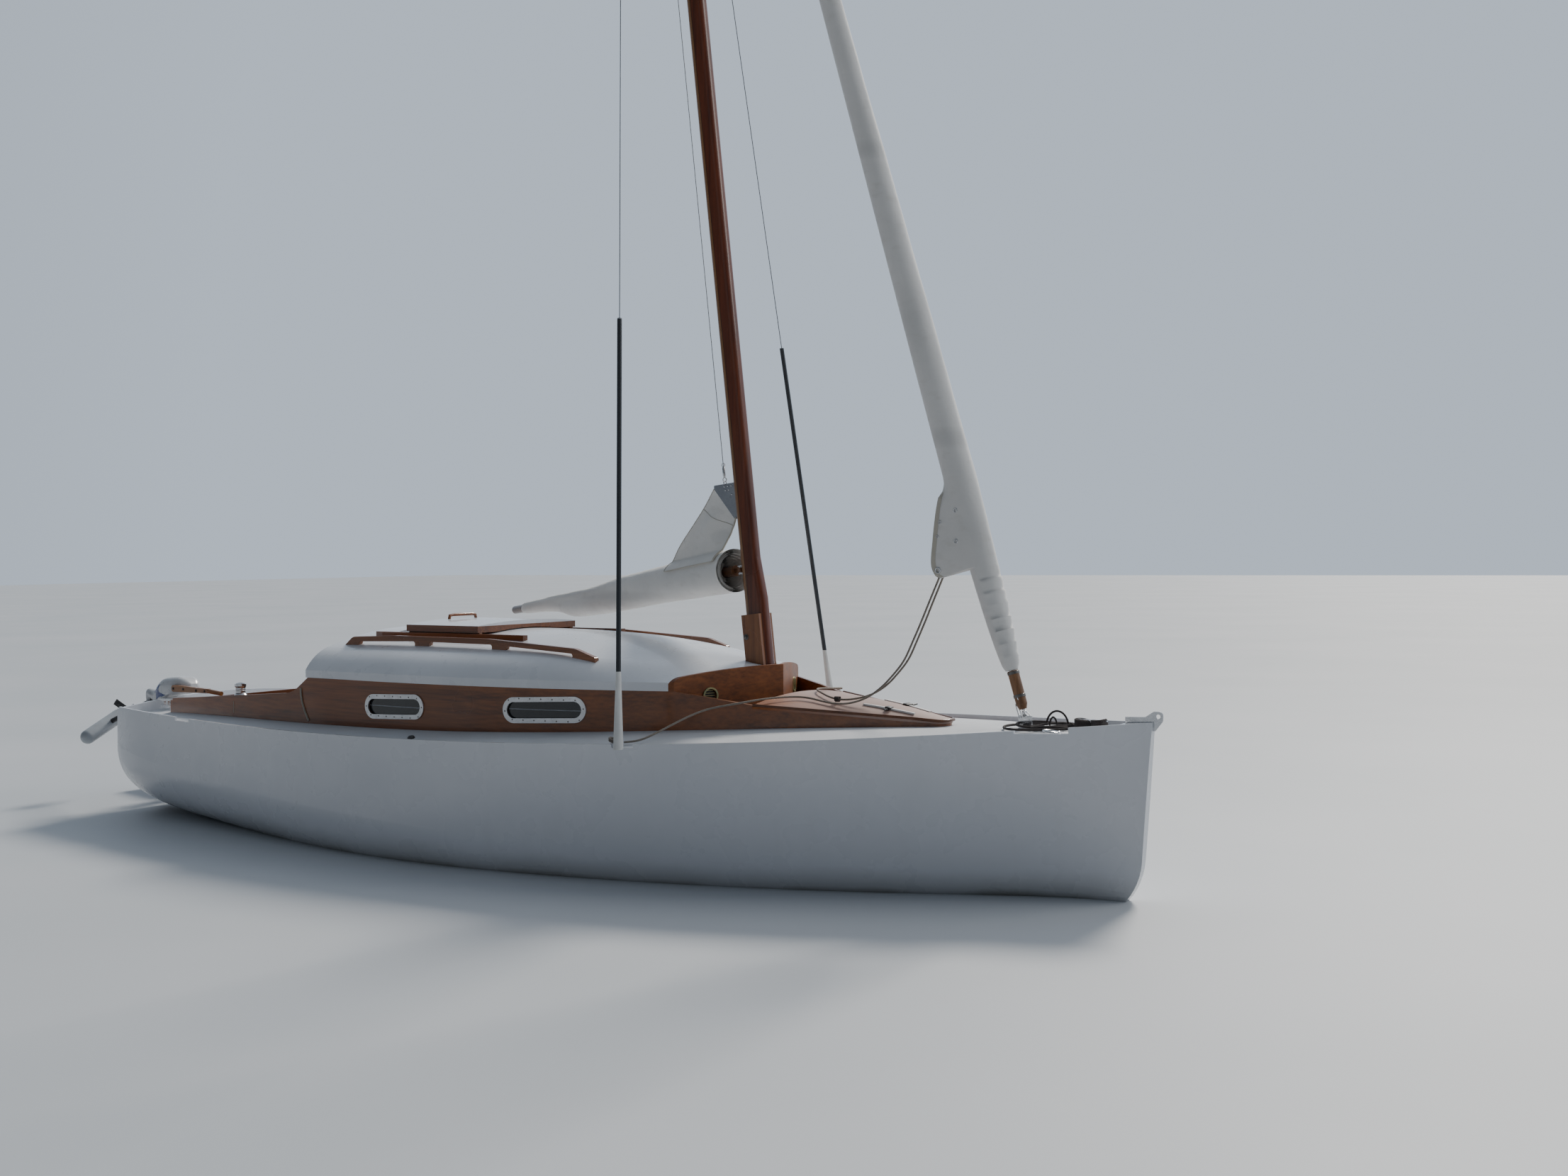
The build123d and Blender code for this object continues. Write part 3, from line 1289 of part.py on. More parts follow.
# Loose ropes: diameter and the points that they bend round
SHEET_ROPE, BOW_ROPE = 10, 12
DROP = [
    (2186, 1478),
    (2139, 1362),
    (2097, 1254),
    (2054, 1152),
    (2016, 1062),
    (1962, 992),
    (1908, 932),
]
DECK_RUN = [
    (1330, 470, 862),
    (1245, 514, 846),
    (1185, 552, 832),
    (1138, 618, 808),
    (1102, 706, 774),
    (1066, 800, 736),
    (1030, 860, 708),
    (988, 890, 695),
    (940, 903, 691),
]
SHEET_STARBOARD = [(x, -12 - 0.33 * (DROP[0][0] - x), z) for x, z in DROP]
SHEET_STARBOARD += [
    (1850, -140, 882),
    (1785, -190, 856),
    (1716, -214, 852),
    (1640, -216, 861),
    (1556, -202, 874),
    (1486, -214, 879),
    (1430, -300, 879),
    (1384, -396, 874),
]
SHEET_STARBOARD += [(x, -y, z) for x, y, z in DECK_RUN]
SHEET_PORT = [(x + 6, 20 - 0.3 * (DROP[0][0] - x), z + 6) for x, z in DROP]
SHEET_PORT += [
    (1848, -100, 892),
    (1776, -146, 872),
    (1700, -164, 868),
    (1626, -140, 878),
    (1560, -90, 888),
    (1486, -20, 894),
    (1424, 70, 894),
    (1396, 180, 888),
    (1390, 300, 878),
    (1376, 400, 872),
]
SHEET_PORT += DECK_RUN
BOW_LINE = [
    (2905, -30, 779),
    (2850, -92, 776),
    (2770, -146, 774),
    (2680, -168, 771),
    (2590, -140, 768),
    (2540, -66, 769),
    (2534, 20, 769),
    (2572, 98, 768),
    (2650, 146, 770),
    (2744, 140, 775),
    (2822, 96, 778),
    (2846, 30, 780),
]


def bend_radii(points):
    """The radius of the arc at each inner point."""
    radii = []
    for before, here, after in zip(points, points[1:], points[2:]):
        first, second = Vector(*here) - Vector(*before), Vector(*after) - Vector(*here)
        turn = radians(first.get_angle(second))
        radii.append(0.45 * min(first.length, second.length) / tan(turn / 2))
    return radii


def rope(points, diameter, label):
    """A round rope along straight runs and tangent arcs."""
    radii = bend_radii(points)
    start = Vector(*points[1]) - Vector(*points[0])
    with BuildPart() as piece:
        with BuildLine() as path:
            FilletPolyline(*points, radius=radii)
        with BuildSketch(Plane(origin=points[0], z_dir=start)):
            Circle(diameter / 2)
        sweep(path=path.wires()[0])
    area = pi * diameter**2 / 4
    length = path.wires()[0].length
    print(label, "length", round(length), "volume ratio", round(piece.part.volume / area / length, 3))
    print("radii", [round(radius) for radius in radii])
    write(piece, label)


rope(SHEET_STARBOARD, SHEET_ROPE, "jib_sheet_starboard")
rope(SHEET_PORT, SHEET_ROPE, "jib_sheet_port")
rope(BOW_LINE, BOW_ROPE, "bow_line")
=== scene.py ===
import math

import bmesh
import bpy
from mathutils import Matrix, Vector, noise
from mathutils.bvhtree import BVHTree


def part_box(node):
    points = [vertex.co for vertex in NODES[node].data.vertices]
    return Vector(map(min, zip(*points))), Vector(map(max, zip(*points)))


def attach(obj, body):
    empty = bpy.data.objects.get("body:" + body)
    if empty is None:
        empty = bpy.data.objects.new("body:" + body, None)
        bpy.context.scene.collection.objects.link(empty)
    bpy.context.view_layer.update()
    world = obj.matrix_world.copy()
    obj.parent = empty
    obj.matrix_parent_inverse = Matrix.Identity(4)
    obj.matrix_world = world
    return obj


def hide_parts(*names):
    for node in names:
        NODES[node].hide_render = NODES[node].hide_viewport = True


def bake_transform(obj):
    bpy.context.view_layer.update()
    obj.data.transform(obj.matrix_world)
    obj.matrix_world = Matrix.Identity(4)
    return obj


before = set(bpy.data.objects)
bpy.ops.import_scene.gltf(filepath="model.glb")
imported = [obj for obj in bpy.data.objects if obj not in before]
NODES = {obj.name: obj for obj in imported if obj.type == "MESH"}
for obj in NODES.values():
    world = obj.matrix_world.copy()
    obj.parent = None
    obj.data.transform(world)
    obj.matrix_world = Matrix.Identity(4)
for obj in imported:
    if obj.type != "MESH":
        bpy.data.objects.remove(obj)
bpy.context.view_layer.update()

# Directions of the mast and the boom
RAKE = math.radians(6.1)
MAST_UP = Vector((-math.sin(RAKE), 0, math.cos(RAKE)))
MAST_FORE = Vector((math.cos(RAKE), 0, math.sin(RAKE)))
MAST_FOOT = Vector((1.154, 0, 0.770))
PORT, UP = Vector((0, 1, 0)), Vector((0, 0, 1))
# Port and starboard
SIDES = (1, -1)


def on_mast(fore, port, up):
    return MAST_FOOT + MAST_FORE * fore + PORT * port + MAST_UP * up


PIN = on_mast(-0.075, 0, 0.749)
SWING, LIFT = math.radians(27), math.radians(0.4)
LEVEL = MAST_FORE * -math.cos(SWING) + PORT * math.sin(SWING)
BOOM_RUN = LEVEL * math.cos(LIFT) + MAST_UP * math.sin(LIFT)
BOOM_UP = MAST_UP * math.cos(LIFT) - LEVEL * math.sin(LIFT)
BOOM_SIDE = BOOM_RUN.cross(BOOM_UP)
STAY_FOOT = Vector((2.626, 0, 0.812))
STAY_TOP = on_mast(0.054, 0, 7.69)
STAY_RUN = (STAY_TOP - STAY_FOOT).normalized()
STAY_FORE = Vector((STAY_RUN.z, 0, -STAY_RUN.x))


# Node materials
SPAN = ("From Min", "From Max", "To Min", "To Max")
# Scales of the waves that stand for threads in cloth and strands in rope
THREADS, ROPE_LAY = 420, 260.0


def add_node(tree, kind, inputs, **settings):
    """A new node; inputs give sockets, by name or number, a value or another node's output."""
    node = tree.nodes.new("ShaderNode" + kind)
    for key, value in settings.items():
        setattr(node, key, value)
    for key, value in inputs.items():
        if isinstance(value, bpy.types.NodeSocket):
            tree.links.new(value, node.inputs[key])
        else:
            node.inputs[key].default_value = value
    return node


class Look:
    """A procedural material while it is put together."""

    def __init__(self, name, rough, coat=0.0, specular=0.5, metallic=0.0):
        self.material = bpy.data.materials.new(name)
        self.material.use_nodes = True
        self.tree = self.material.node_tree
        self.shader = self.tree.nodes["Principled BSDF"]
        self.place = self.add("TexCoord", {}).outputs["Object"]
        self.set("Roughness", rough)
        self.set("Coat Weight", coat)
        self.set("Specular IOR Level", specular)
        self.set("Metallic", metallic)

    def set(self, socket, value):
        self.shader.inputs[socket].default_value = value

    def join(self, output, socket):
        self.tree.links.new(output, self.shader.inputs[socket])

    def add(self, kind, inputs, **settings):
        return add_node(self.tree, kind, inputs, **settings)

    def stretched(self, scale):
        return self.add("Mapping", {"Vector": self.place, "Scale": scale}).outputs["Vector"]

    def noise(self, scale, detail=4, stretch=(1, 1, 1), twist=0.0):
        inputs = {"Vector": self.stretched(stretch), "Scale": scale, "Detail": detail, "Distortion": twist}
        return self.add("TexNoise", inputs).outputs["Fac"]

    def wave(self, scale, axis, twist, stretch=(1, 1, 1)):
        inputs = {"Vector": self.stretched(stretch), "Scale": scale, "Detail": 3, "Distortion": twist}
        return self.add("TexWave", inputs, bands_direction=axis).outputs["Fac"]

    def height(self, axis="Z"):
        return self.add("SeparateXYZ", {0: self.place}).outputs[axis]

    def along(self, way, origin):
        """Distance along a direction from a point."""
        node = self.add("VectorMath", {0: self.place, 1: way}, operation="DOT_PRODUCT")
        return self.sum(node.outputs["Value"], -origin.dot(way))

    def ramp(self, value, *stops):
        node = self.add("ValToRGB", {"Fac": value})
        band = node.color_ramp
        for _ in stops[2:]:
            band.elements.new(0.5)
        for element, (spot, colour) in zip(band.elements, stops):
            element.position = spot
            element.color = (*colour, 1)
        return node.outputs["Color"]

    def between(self, value, *span):
        """A value mapped from one range to another; span is both ranges' ends."""
        return self.add("MapRange", {"Value": value, **dict(zip(SPAN, span))}).outputs["Result"]

    def sum(self, a, b, kind="ADD"):
        return self.add("Math", {0: a, 1: b}, operation=kind).outputs[0]

    def times(self, a, b):
        return self.sum(a, b, "MULTIPLY")

    def mix(self, share, a, b):
        a, b = ((*c, 1) if isinstance(c, tuple) else c for c in (a, b))
        return self.add("Mix", {0: share, 6: a, 7: b}, data_type="RGBA").outputs[2]

    def mottle(self, value, colour, dark, light, edge=0.3, far_edge=0.7):
        """One colour that drifts between a darker and a lighter shade."""
        return self.ramp(value, (edge, shade(colour, dark)), (far_edge, shade(colour, light)))

    def done(self, colour, rough, bump):
        """The material; rough is (value, lowest, highest) or None, bump is (value, strength, distance)."""
        height, strength, distance = bump
        node = self.add("Bump", {"Height": height, "Strength": strength, "Distance": distance})
        self.join(colour, "Base Color")
        if rough:
            self.join(self.between(rough[0], 0.3, 0.7, *rough[1:]), "Roughness")
        self.join(node.outputs["Normal"], "Normal")
        return self.material


def shade(colour, factor):
    return tuple(min(1.0, c * factor) for c in colour)


def paint(name, colour, rough, dirt, coat, grain, bump):
    look = Look(name, rough, coat)
    specks = look.noise(grain, 6)
    base = look.mottle(look.noise(2.3, 5), colour, 0.93, 1.05, 0.3, 0.72)
    marks = look.ramp(specks, (0.34, (1, 1, 1)), (0.62, (0, 0, 0)))
    base = look.mix(look.times(marks, dirt * 0.35), base, shade(colour, 0.62))
    return look.done(base, (look.noise(9.0, 4), rough * 0.8, rough * 1.35), (specks, bump, 0.002))


def hull_paint():
    """White paint with a weed-stained band at the water and faint runs."""
    colour = (0.70, 0.72, 0.76)
    look = Look("hull_white", 0.25, 0.5)
    base = look.mottle(look.noise(0.8, 5, (0.5, 1, 1.6)), colour, 0.95, 1.03, 0.25, 0.75)
    runs = look.noise(2.2, 5, (4, 4, 0.6))
    base = look.mix(look.between(runs, 0.55, 0.8, 0, 0.10), base, (0.50, 0.49, 0.46))
    edge = look.sum(look.height(), look.between(look.noise(3, 6, (0.6, 0.6, 1)), 0.2, 0.8, -0.04, 0.04))
    wet = look.between(edge, 0.12, 0.03, 0, 1)
    base = look.mix(look.times(wet, 0.35), base, (0.36, 0.35, 0.31))
    below = look.between(edge, 0.02, -0.02, 0, 1)
    base = look.mix(look.times(below, 0.75), base, (0.22, 0.21, 0.17))
    return look.done(base, (look.noise(5, 5), 0.2, 0.38), (look.noise(1.2, 3), 0.2, 0.004))


def wood_base(look, dark, light, grain, pores):
    """Colour of a board with fibres; grain is the stretch, smallest along them."""
    figure = look.noise(1.6, 6, grain, twist=0.35)
    fibres = look.noise(9, 5, grain)
    middle = tuple((a + b) / 2 for a, b in zip(dark, light))
    both = look.sum(look.times(figure, 0.55), look.times(fibres, 0.45))
    base = look.ramp(both, (0.34, dark), (0.5, middle), (0.68, light))
    fine = look.noise(34, 4, grain)
    base = look.mix(look.between(fine, 0.52, 0.8, 0, pores), base, shade(dark, 0.5))
    return look.mix(look.between(look.noise(0.7, 3), 0.45, 0.75, 0, 0.25), base, light), fine


def wood(name, dark, light, grain, coat=0.35, rough=0.3, pores=0.3):
    """Varnished wood."""
    look = Look(name, rough, coat)
    look.set("Coat Roughness", 0.08)
    base, fine = wood_base(look, dark, light, grain, pores)
    return look.done(base, (look.noise(1.3, 5), rough * 0.75, rough * 1.5), (fine, 0.10, 0.001))


def mast_wood(dark, light, pale):
    """Dark spar with a paler strip glued along its aft side."""
    look = Look("mast_wood", 0.32, 0.3)
    base, fine = wood_base(look, dark, light, (10, 10, 0.35), 0.35)
    fore = look.along(MAST_FORE, MAST_FOOT)
    strip, _ = wood_base(look, shade(pale, 0.7), pale, (12, 12, 0.4), 0.3)
    base = look.mix(look.between(fore, -0.016, -0.020, 0, 1), base, strip)
    seam = look.times(look.between(fore, -0.021, -0.019, 0, 1), look.between(fore, -0.015, -0.017, 0, 1))
    base = look.mix(look.times(seam, 0.8), base, shade(dark, 0.25))
    return look.done(base, (look.noise(1.3, 5), 0.2, 0.42), (fine, 0.12, 0.001))


def trunk_wood(dark, light, sheen_and_faded):
    """Varnish with a painted pinkish sheen of reflected sky forward and to port, mixed with dull worn
    varnish.
    """
    look = Look("trunk_varnish", 0.45, 0.1, 0.3)
    base, fine = wood_base(look, dark, light, (0.4, 12, 12), 0.25)
    # Painted sheen: the pinkish colour of sky reflected in the varnish, also standing for worn varnish,
    # grows forward and to port
    sheen_drift = look.sum(look.sum(look.height("X"), 1.0), look.times(look.height("Y"), 1.6))
    sheen_drift = look.sum(sheen_drift, look.between(look.noise(2.2, 5), 0.2, 0.8, -0.22, 0.22))
    base = look.mix(look.between(sheen_drift, 1.75, 2.5, 0.0, 0.85), base, sheen_and_faded)
    return look.done(base, (look.noise(4, 5), 0.45, 0.6), (fine, 0.10, 0.001))


def zoned(name, zones, rough):
    """Plain colours one above the other; zones are (height of the lower edge, colour)."""
    look = Look(name, rough, 0.2)
    base = look.mottle(look.noise(9, 5), zones[0][1], 0.88, 1.08)
    for edge, colour in zones[1:]:
        other = look.mottle(look.noise(14, 5), colour, 0.85, 1.1)
        base = look.mix(look.between(look.height(), edge - 0.002, edge + 0.002, 0, 1), base, other)
    return look.done(base, (look.noise(30, 5), rough * 0.8, rough * 1.3), (look.noise(60, 4), 0.05, 0.0006))


def hatch_look(dark, light, white):
    """Painted top above varnished sides."""
    look = Look("hatch_paint_and_wood", 0.3, 0.5)
    base, fine = wood_base(look, dark, light, (0.4, 10, 14), 0.3)
    top = look.mottle(look.noise(3, 5), white, 0.94, 1.04)
    painted = look.between(look.height(), HATCH_EDGE - 0.001, HATCH_EDGE + 0.001, 0, 1)
    base = look.mix(painted, base, top)
    return look.done(base, (look.noise(4, 5), 0.24, 0.4), (fine, 0.06, 0.001))


def metal(name, colour, rough=0.25, scale=40.0, stain=(0.35, 0.3, 0.25), stained=0.25):
    look = Look(name, rough, metallic=1.0)
    base = look.mottle(look.noise(scale * 0.25, 6), colour, 0.85, 1.08)
    spots = look.noise(scale, 6)
    base = look.mix(look.times(look.between(spots, 0.56, 0.72, 0, 1), stained), base, stain)
    scratches = look.noise(scale * 2, 5, (1, 1, 6))
    return look.done(base, (scratches, rough * 0.7, rough * 1.6), (spots, 0.08, 0.0008))


def plastic(name, colour, rough=0.45, coat=0.0, worn=0.35):
    look = Look(name, rough, coat)
    base = look.mottle(look.noise(7, 6), colour, 0.85, 1.12)
    dust = look.noise(45, 7)
    base = look.mix(look.times(look.between(dust, 0.5, 0.8, 0, 1), worn), base, (0.35, 0.34, 0.32))
    return look.done(base, (dust, rough * 0.8, rough * 1.3), (look.noise(300, 3), 0.06, 0.0005))


def sailcloth(name, colour=(0.80, 0.79, 0.76), seams=0.35):
    """Woven cloth: fine threads, soft creases and a little grime."""
    look = Look(name, 0.62, 0.0, 0.3)
    base = look.mottle(look.noise(2.6, 6), colour, 0.88, 1.06, 0.25, 0.75)
    grime = look.noise(11, 7, (1, 1, 2.5))
    base = look.mix(look.between(grime, 0.55, 0.8, 0, 0.3), base, (0.50, 0.47, 0.41))
    seam = look.between(look.wave(seams, "Z", 0.4, (0.25, 0.25, 1)), 0.985, 1.0, 0, 0.35)
    base = look.mix(seam, base, shade(colour, 0.62))
    look.set("Sheen Weight", 0.25)
    look.set("Subsurface Weight", 0.06)
    look.set("Subsurface Radius", (0.01, 0.01, 0.01))
    creases = look.noise(14, 7, twist=1.2)
    weave = look.times(look.wave(THREADS, "X", 0.3), look.wave(THREADS, "Z", 0.3))
    bumps = look.sum(creases, look.times(weave, 0.04))
    return look.done(base, None, (bumps, 0.35, 0.006))


def rope_look(name, colour, dark):
    look = Look(name, 0.85, 0.0, 0.2)
    strands = look.wave(ROPE_LAY, "DIAGONAL", 0.6)
    fuzz = look.noise(350, 5)
    base = look.ramp(strands, (0.2, dark), (0.7, colour))
    base = look.mix(look.between(fuzz, 0.4, 0.8, 0, 0.45), base, shade(colour, 1.25))
    look.set("Sheen Weight", 0.3)
    bumps = look.sum(strands, look.times(fuzz, 0.4))
    return look.done(base, (fuzz, 0.75, 0.95), (bumps, 0.8, 0.002))


def glass():
    look = Look("window_dark", 0.04, 0.3)
    look.set("Transmission Weight", 0.2)
    base = look.ramp(look.noise(9, 6), (0.3, (0.006, 0.008, 0.011)), (0.8, (0.022, 0.028, 0.034)))
    return look.done(base, (look.noise(30, 5), 0.03, 0.16), (look.noise(3, 2), 0.04, 0.001))


# Dark and light of the red mahogany, and the height where the hatch's paint ends
RED = ((0.095, 0.026, 0.006), (0.29, 0.090, 0.020))
HATCH_EDGE = 1.2015
# White boot, black tube and bare wire of a shroud
SHROUD_ZONES = [(0.0, (0.72, 0.72, 0.70)), (1.033, (0.022, 0.026, 0.032)), (2.752, (0.22, 0.23, 0.25))]
LOOKS = {
    "hull": hull_paint(),
    "deck": paint("deck_grey", (0.62, 0.64, 0.67), 0.6, 0.4, 0.0, 240.0, 0.3),
    "roof": paint("roof_white", (0.76, 0.78, 0.82), 0.3, 0.15, 0.35, 35.0, 0.03),
    "hatch": hatch_look(*RED, (0.76, 0.78, 0.82)),
    # The trunk's third colour is a painted pinkish sheen of reflected sky, mixed with faded varnish
    "trunk": trunk_wood((0.17, 0.045, 0.010), (0.36, 0.115, 0.026), (0.42, 0.30, 0.26)),
    "planks": wood("mahogany_planks", *RED, (0.28, 9, 9)),
    "rim": wood("mahogany_rim", shade(RED[0], 0.55), shade(RED[1], 0.6), (0.3, 9, 9)),
    "upright": wood("mahogany_upright", (0.12, 0.034, 0.010), (0.33, 0.125, 0.036), (9, 9, 0.35)),
    "across": wood("mahogany_across", *RED, (9, 0.35, 9)),
    "board_dull": wood("mahogany_board", *RED, (9, 0.35, 9), 0.0, 0.55, 0.35),
    "mast": mast_wood((0.060, 0.012, 0.004), (0.19, 0.042, 0.011), (0.28, 0.13, 0.05)),
    "worn": wood("jib_spar_worn", (0.10, 0.045, 0.02), (0.36, 0.17, 0.07), (12, 12, 0.4), 0.3, 0.45, 0.7),
    "spar": wood("spar_varnish", (0.20, 0.08, 0.03), (0.42, 0.19, 0.07), (0.4, 10, 10)),
    # Painted shade: the boom's varnish is made extra dark so that its end inside the rolled sail reads as
    # shaded
    "boom": wood("boom_varnish_painted_shade", (0.045, 0.016, 0.007), (0.15, 0.06, 0.02), (0.4, 10, 10)),
    "ply": wood("ply_oiled", (0.20, 0.095, 0.04), (0.46, 0.27, 0.13), (0.5, 6, 9), 0.2, 0.5),
    "steel": metal("steel_bright", (0.66, 0.67, 0.69), 0.2),
    "alloy": metal("alloy_satin", (0.72, 0.73, 0.75), 0.34, 55.0, (0.4, 0.4, 0.4), 0.35),
    "board": metal("headboard_alloy", (0.36, 0.38, 0.42), 0.42, 30.0, (0.25, 0.26, 0.28), 0.4),
    "brass": metal("brass_green", (0.42, 0.38, 0.20), 0.4, 30.0, (0.16, 0.28, 0.20), 0.7),
    "glass": glass(),
    "sail": sailcloth("sail_white"),
    "jib": sailcloth("jib_white", (0.74, 0.73, 0.71), seams=0.22),
    "tape": sailcloth("sail_tape", (0.52, 0.49, 0.42), seams=0.01),
    "shroud": zoned("shroud_tube", SHROUD_ZONES, 0.4),
    "black": plastic("black_parts", (0.018, 0.018, 0.020), 0.45),
    "grey": plastic("motor_grey", (0.55, 0.56, 0.58), 0.3, 0.4, 0.2),
    "pod": plastic("pod_grey", (0.40, 0.43, 0.46), 0.35, 0.3, 0.3),
    "blue": plastic("blue_patch", (0.02, 0.05, 0.22), 0.25, 0.5, 0.1),
    "white": plastic("white_strip", (0.74, 0.72, 0.70), 0.4, 0.2, 0.2),
    "rope": rope_look("sheet_rope", (0.44, 0.38, 0.32), (0.17, 0.14, 0.11)),
    "dark_rope": rope_look("dark_rope", (0.075, 0.055, 0.05), (0.02, 0.016, 0.015)),
    "white_rope": rope_look("white_line", (0.62, 0.58, 0.50), (0.35, 0.31, 0.25)),
    "dark_metal": metal("dark_screws", (0.20, 0.19, 0.18), 0.4, 90.0),
    "wire": metal("wire_steel", (0.40, 0.41, 0.42), 0.35, 200.0),
}

NODE_LOOKS = {
    "hull": "hull_shell transom centreboard",
    "deck": "deck",
    "roof": "cabin_roof",
    "hatch": "hatch_cover",
    "trunk": "foredeck_trunk_top",
    "planks": "cabin_side_port cabin_side_starboard handrails hatch_runners winch_shelves",
    "board_dull": "cabin_front",
    "across": "cabin_bulkhead coaming_aft",
    "upright": "rudder_head tabernacle",
    "mast": "mast",
    "worn": "jib_spar",
    "spar": "tiller outboard_arm rudder_blade",
    "boom": "boom_spar",
    "ply": "soles benches centreboard_case",
    "steel": "mast_fittings rudder_gudgeons winches stem_plate cleats forestay",
    "alloy": "window_frames",
    "board": "headboard",
    "brass": "vent_rings",
    "glass": "window_panes",
    "sail": "mainsail_roll sail_head",
    "jib": "jib_roll",
    "shroud": "shroud_port shroud_starboard",
    "black": "outboard_clamp outboard_swivel outboard_shaft propeller",
    "grey": "outboard_head",
    "pod": "outboard_pod",
    "rope": "jib_sheet_starboard jib_sheet_port",
    "dark_rope": "bow_line",
}
for key, names in NODE_LOOKS.items():
    for name in names.split():
        NODES[name].data.materials.clear()
        NODES[name].data.materials.append(LOOKS[key])


# Shapes: each gives points and faces
def frame_of(axis):
    """Two directions square to an axis."""
    axis = Vector(axis).normalized()
    side = Vector((0, 1, 0)) if abs(axis.y) < 0.9 else Vector((1, 0, 0))
    first = (side - axis * side.dot(axis)).normalized()
    return first, axis.cross(first)


def band(near, far, count):
    """Faces between two rings of points, each given by the number of its first point."""
    return [(near + k, near + (k + 1) % count, far + (k + 1) % count, far + k) for k in range(count)]


def tube(points, radius, sides=10, closed=False):
    """A rod along points or a closed ring; radius is one value or one for each point."""
    points = [Vector(p) for p in points]
    count = len(points)
    radii = radius if isinstance(radius, (list, tuple)) else [radius] * count
    verts, faces = [], []
    up = None
    for i, p in enumerate(points):
        a = points[(i - 1) % count] if closed or i else p
        b = points[(i + 1) % count] if closed or i < count - 1 else p
        way = (b - a).normalized()
        if up is None:
            up = frame_of(way)[0]
        up = (up - way * up.dot(way)).normalized()
        side = way.cross(up)
        for k in range(sides):
            t = 2 * math.pi * k / sides
            verts.append(p + (up * math.cos(t) + side * math.sin(t)) * radii[i])
    for i in range(count if closed else count - 1):
        faces += band(i * sides, (i + 1) % count * sides, sides)
    if not closed:
        faces.append(tuple(reversed(range(sides))))
        faces.append(tuple(range((count - 1) * sides, count * sides)))
    return verts, faces


def lathe(origin, axis, profile, sides=28):
    """Turned shape; profile rows are distance along the axis and radius."""
    origin, axis = Vector(origin), Vector(axis).normalized()
    return tube([origin + axis * h for h, r in profile], [max(r, 1e-5) for h, r in profile], sides)


def loops(centre, axis, radius, pitch, turns, steps=20):
    """Points of round turns about an axis."""
    first, second = frame_of(axis)
    axis = Vector(axis).normalized()
    points = []
    for i in range(int(turns * steps) + 1):
        t = 2 * math.pi * i / steps
        spot = Vector(centre) + (first * math.cos(t) + second * math.sin(t)) * radius
        points.append(spot + axis * pitch * (i / steps - turns / 2))
    return points


def torus(centre, axis, radius, thick, steps=24):
    return tube(loops(centre, axis, radius, 0, 1, steps)[:-1], thick, 8, True)


def round_edges(mesh, bevel):
    bmesh.ops.bevel(mesh, geom=mesh.edges[:], offset=bevel, segments=2, affect="EDGES", profile=0.5)


def shape_of(mesh):
    mesh.verts.index_update()
    shape = [v.co.copy() for v in mesh.verts], [tuple(v.index for v in f.verts) for f in mesh.faces]
    mesh.free()
    return shape


def box(centre, size, axes=None, bevel=0.0):
    mesh = bmesh.new()
    bmesh.ops.create_cube(mesh, size=1.0)
    bmesh.ops.scale(mesh, vec=size, verts=mesh.verts)
    if bevel:
        round_edges(mesh, bevel)
    turn = Matrix(axes).transposed().to_4x4() if axes else Matrix.Identity(4)
    bmesh.ops.transform(mesh, matrix=Matrix.Translation(Vector(centre)) @ turn, verts=mesh.verts)
    return shape_of(mesh)


def prism(outline, origin, u, v, depth, bevel):
    """A plate from a 2-D outline, centred on its plane."""
    u, v = u.normalized(), v.normalized()
    w = u.cross(v)
    mesh = bmesh.new()
    ring = [mesh.verts.new(origin + u * a + v * b - w * depth / 2) for a, b in outline]
    face = mesh.faces.new(ring)
    top = bmesh.ops.extrude_face_region(mesh, geom=[face])
    moved = [g for g in top["geom"] if isinstance(g, bmesh.types.BMVert)]
    bmesh.ops.translate(mesh, vec=w * depth, verts=moved)
    bmesh.ops.recalc_face_normals(mesh, faces=mesh.faces)
    round_edges(mesh, bevel)
    return shape_of(mesh)


def placed(name, data):
    made = bpy.data.objects.new(name, data)
    bpy.context.scene.collection.objects.link(made)
    return made


def piece(name, shapes, look, body="boat", flat=40):
    """One visible piece out of several shapes, riding on a body."""
    verts, faces = [], []
    for points, polygons in shapes:
        start = len(verts)
        verts += [tuple(p) for p in points]
        faces += [tuple(i + start for i in f) for f in polygons]
    data = bpy.data.meshes.new(name)
    data.from_pydata(verts, [], faces)
    data.validate()
    data.update()
    data.materials.append(LOOKS[look])
    data.polygons.foreach_set("use_smooth", [True] * len(data.polygons))
    data.set_sharp_from_angle(angle=math.radians(flat))
    made = placed(name, data)
    if body:
        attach(made, body)
    return made


def strap(points, width, height):
    """A flat strip lying along points."""
    verts, faces = [], []
    for i, p in enumerate(points):
        way = (points[min(i + 1, len(points) - 1)] - points[max(i - 1, 0)]).normalized()
        across = Vector((-way.y, way.x, 0)).normalized() * width / 2
        verts += [p - across, p - across * 0.8 + UP * height, p + across * 0.8 + UP * height, p + across]
    for i in range(len(points) - 1):
        faces += band(4 * i, 4 * i + 4, 4)
    last = 4 * len(points) - 4
    return verts, faces + [(3, 2, 1, 0), (last, last + 1, last + 2, last + 3)]


def screw(at, out, radius=0.0045):
    """A domed screw head."""
    profile = [(-0.003, radius), (0.0, radius), (0.0012, radius * 0.85), (0.002, radius * 0.3)]
    return lathe(at, out, profile, 10)


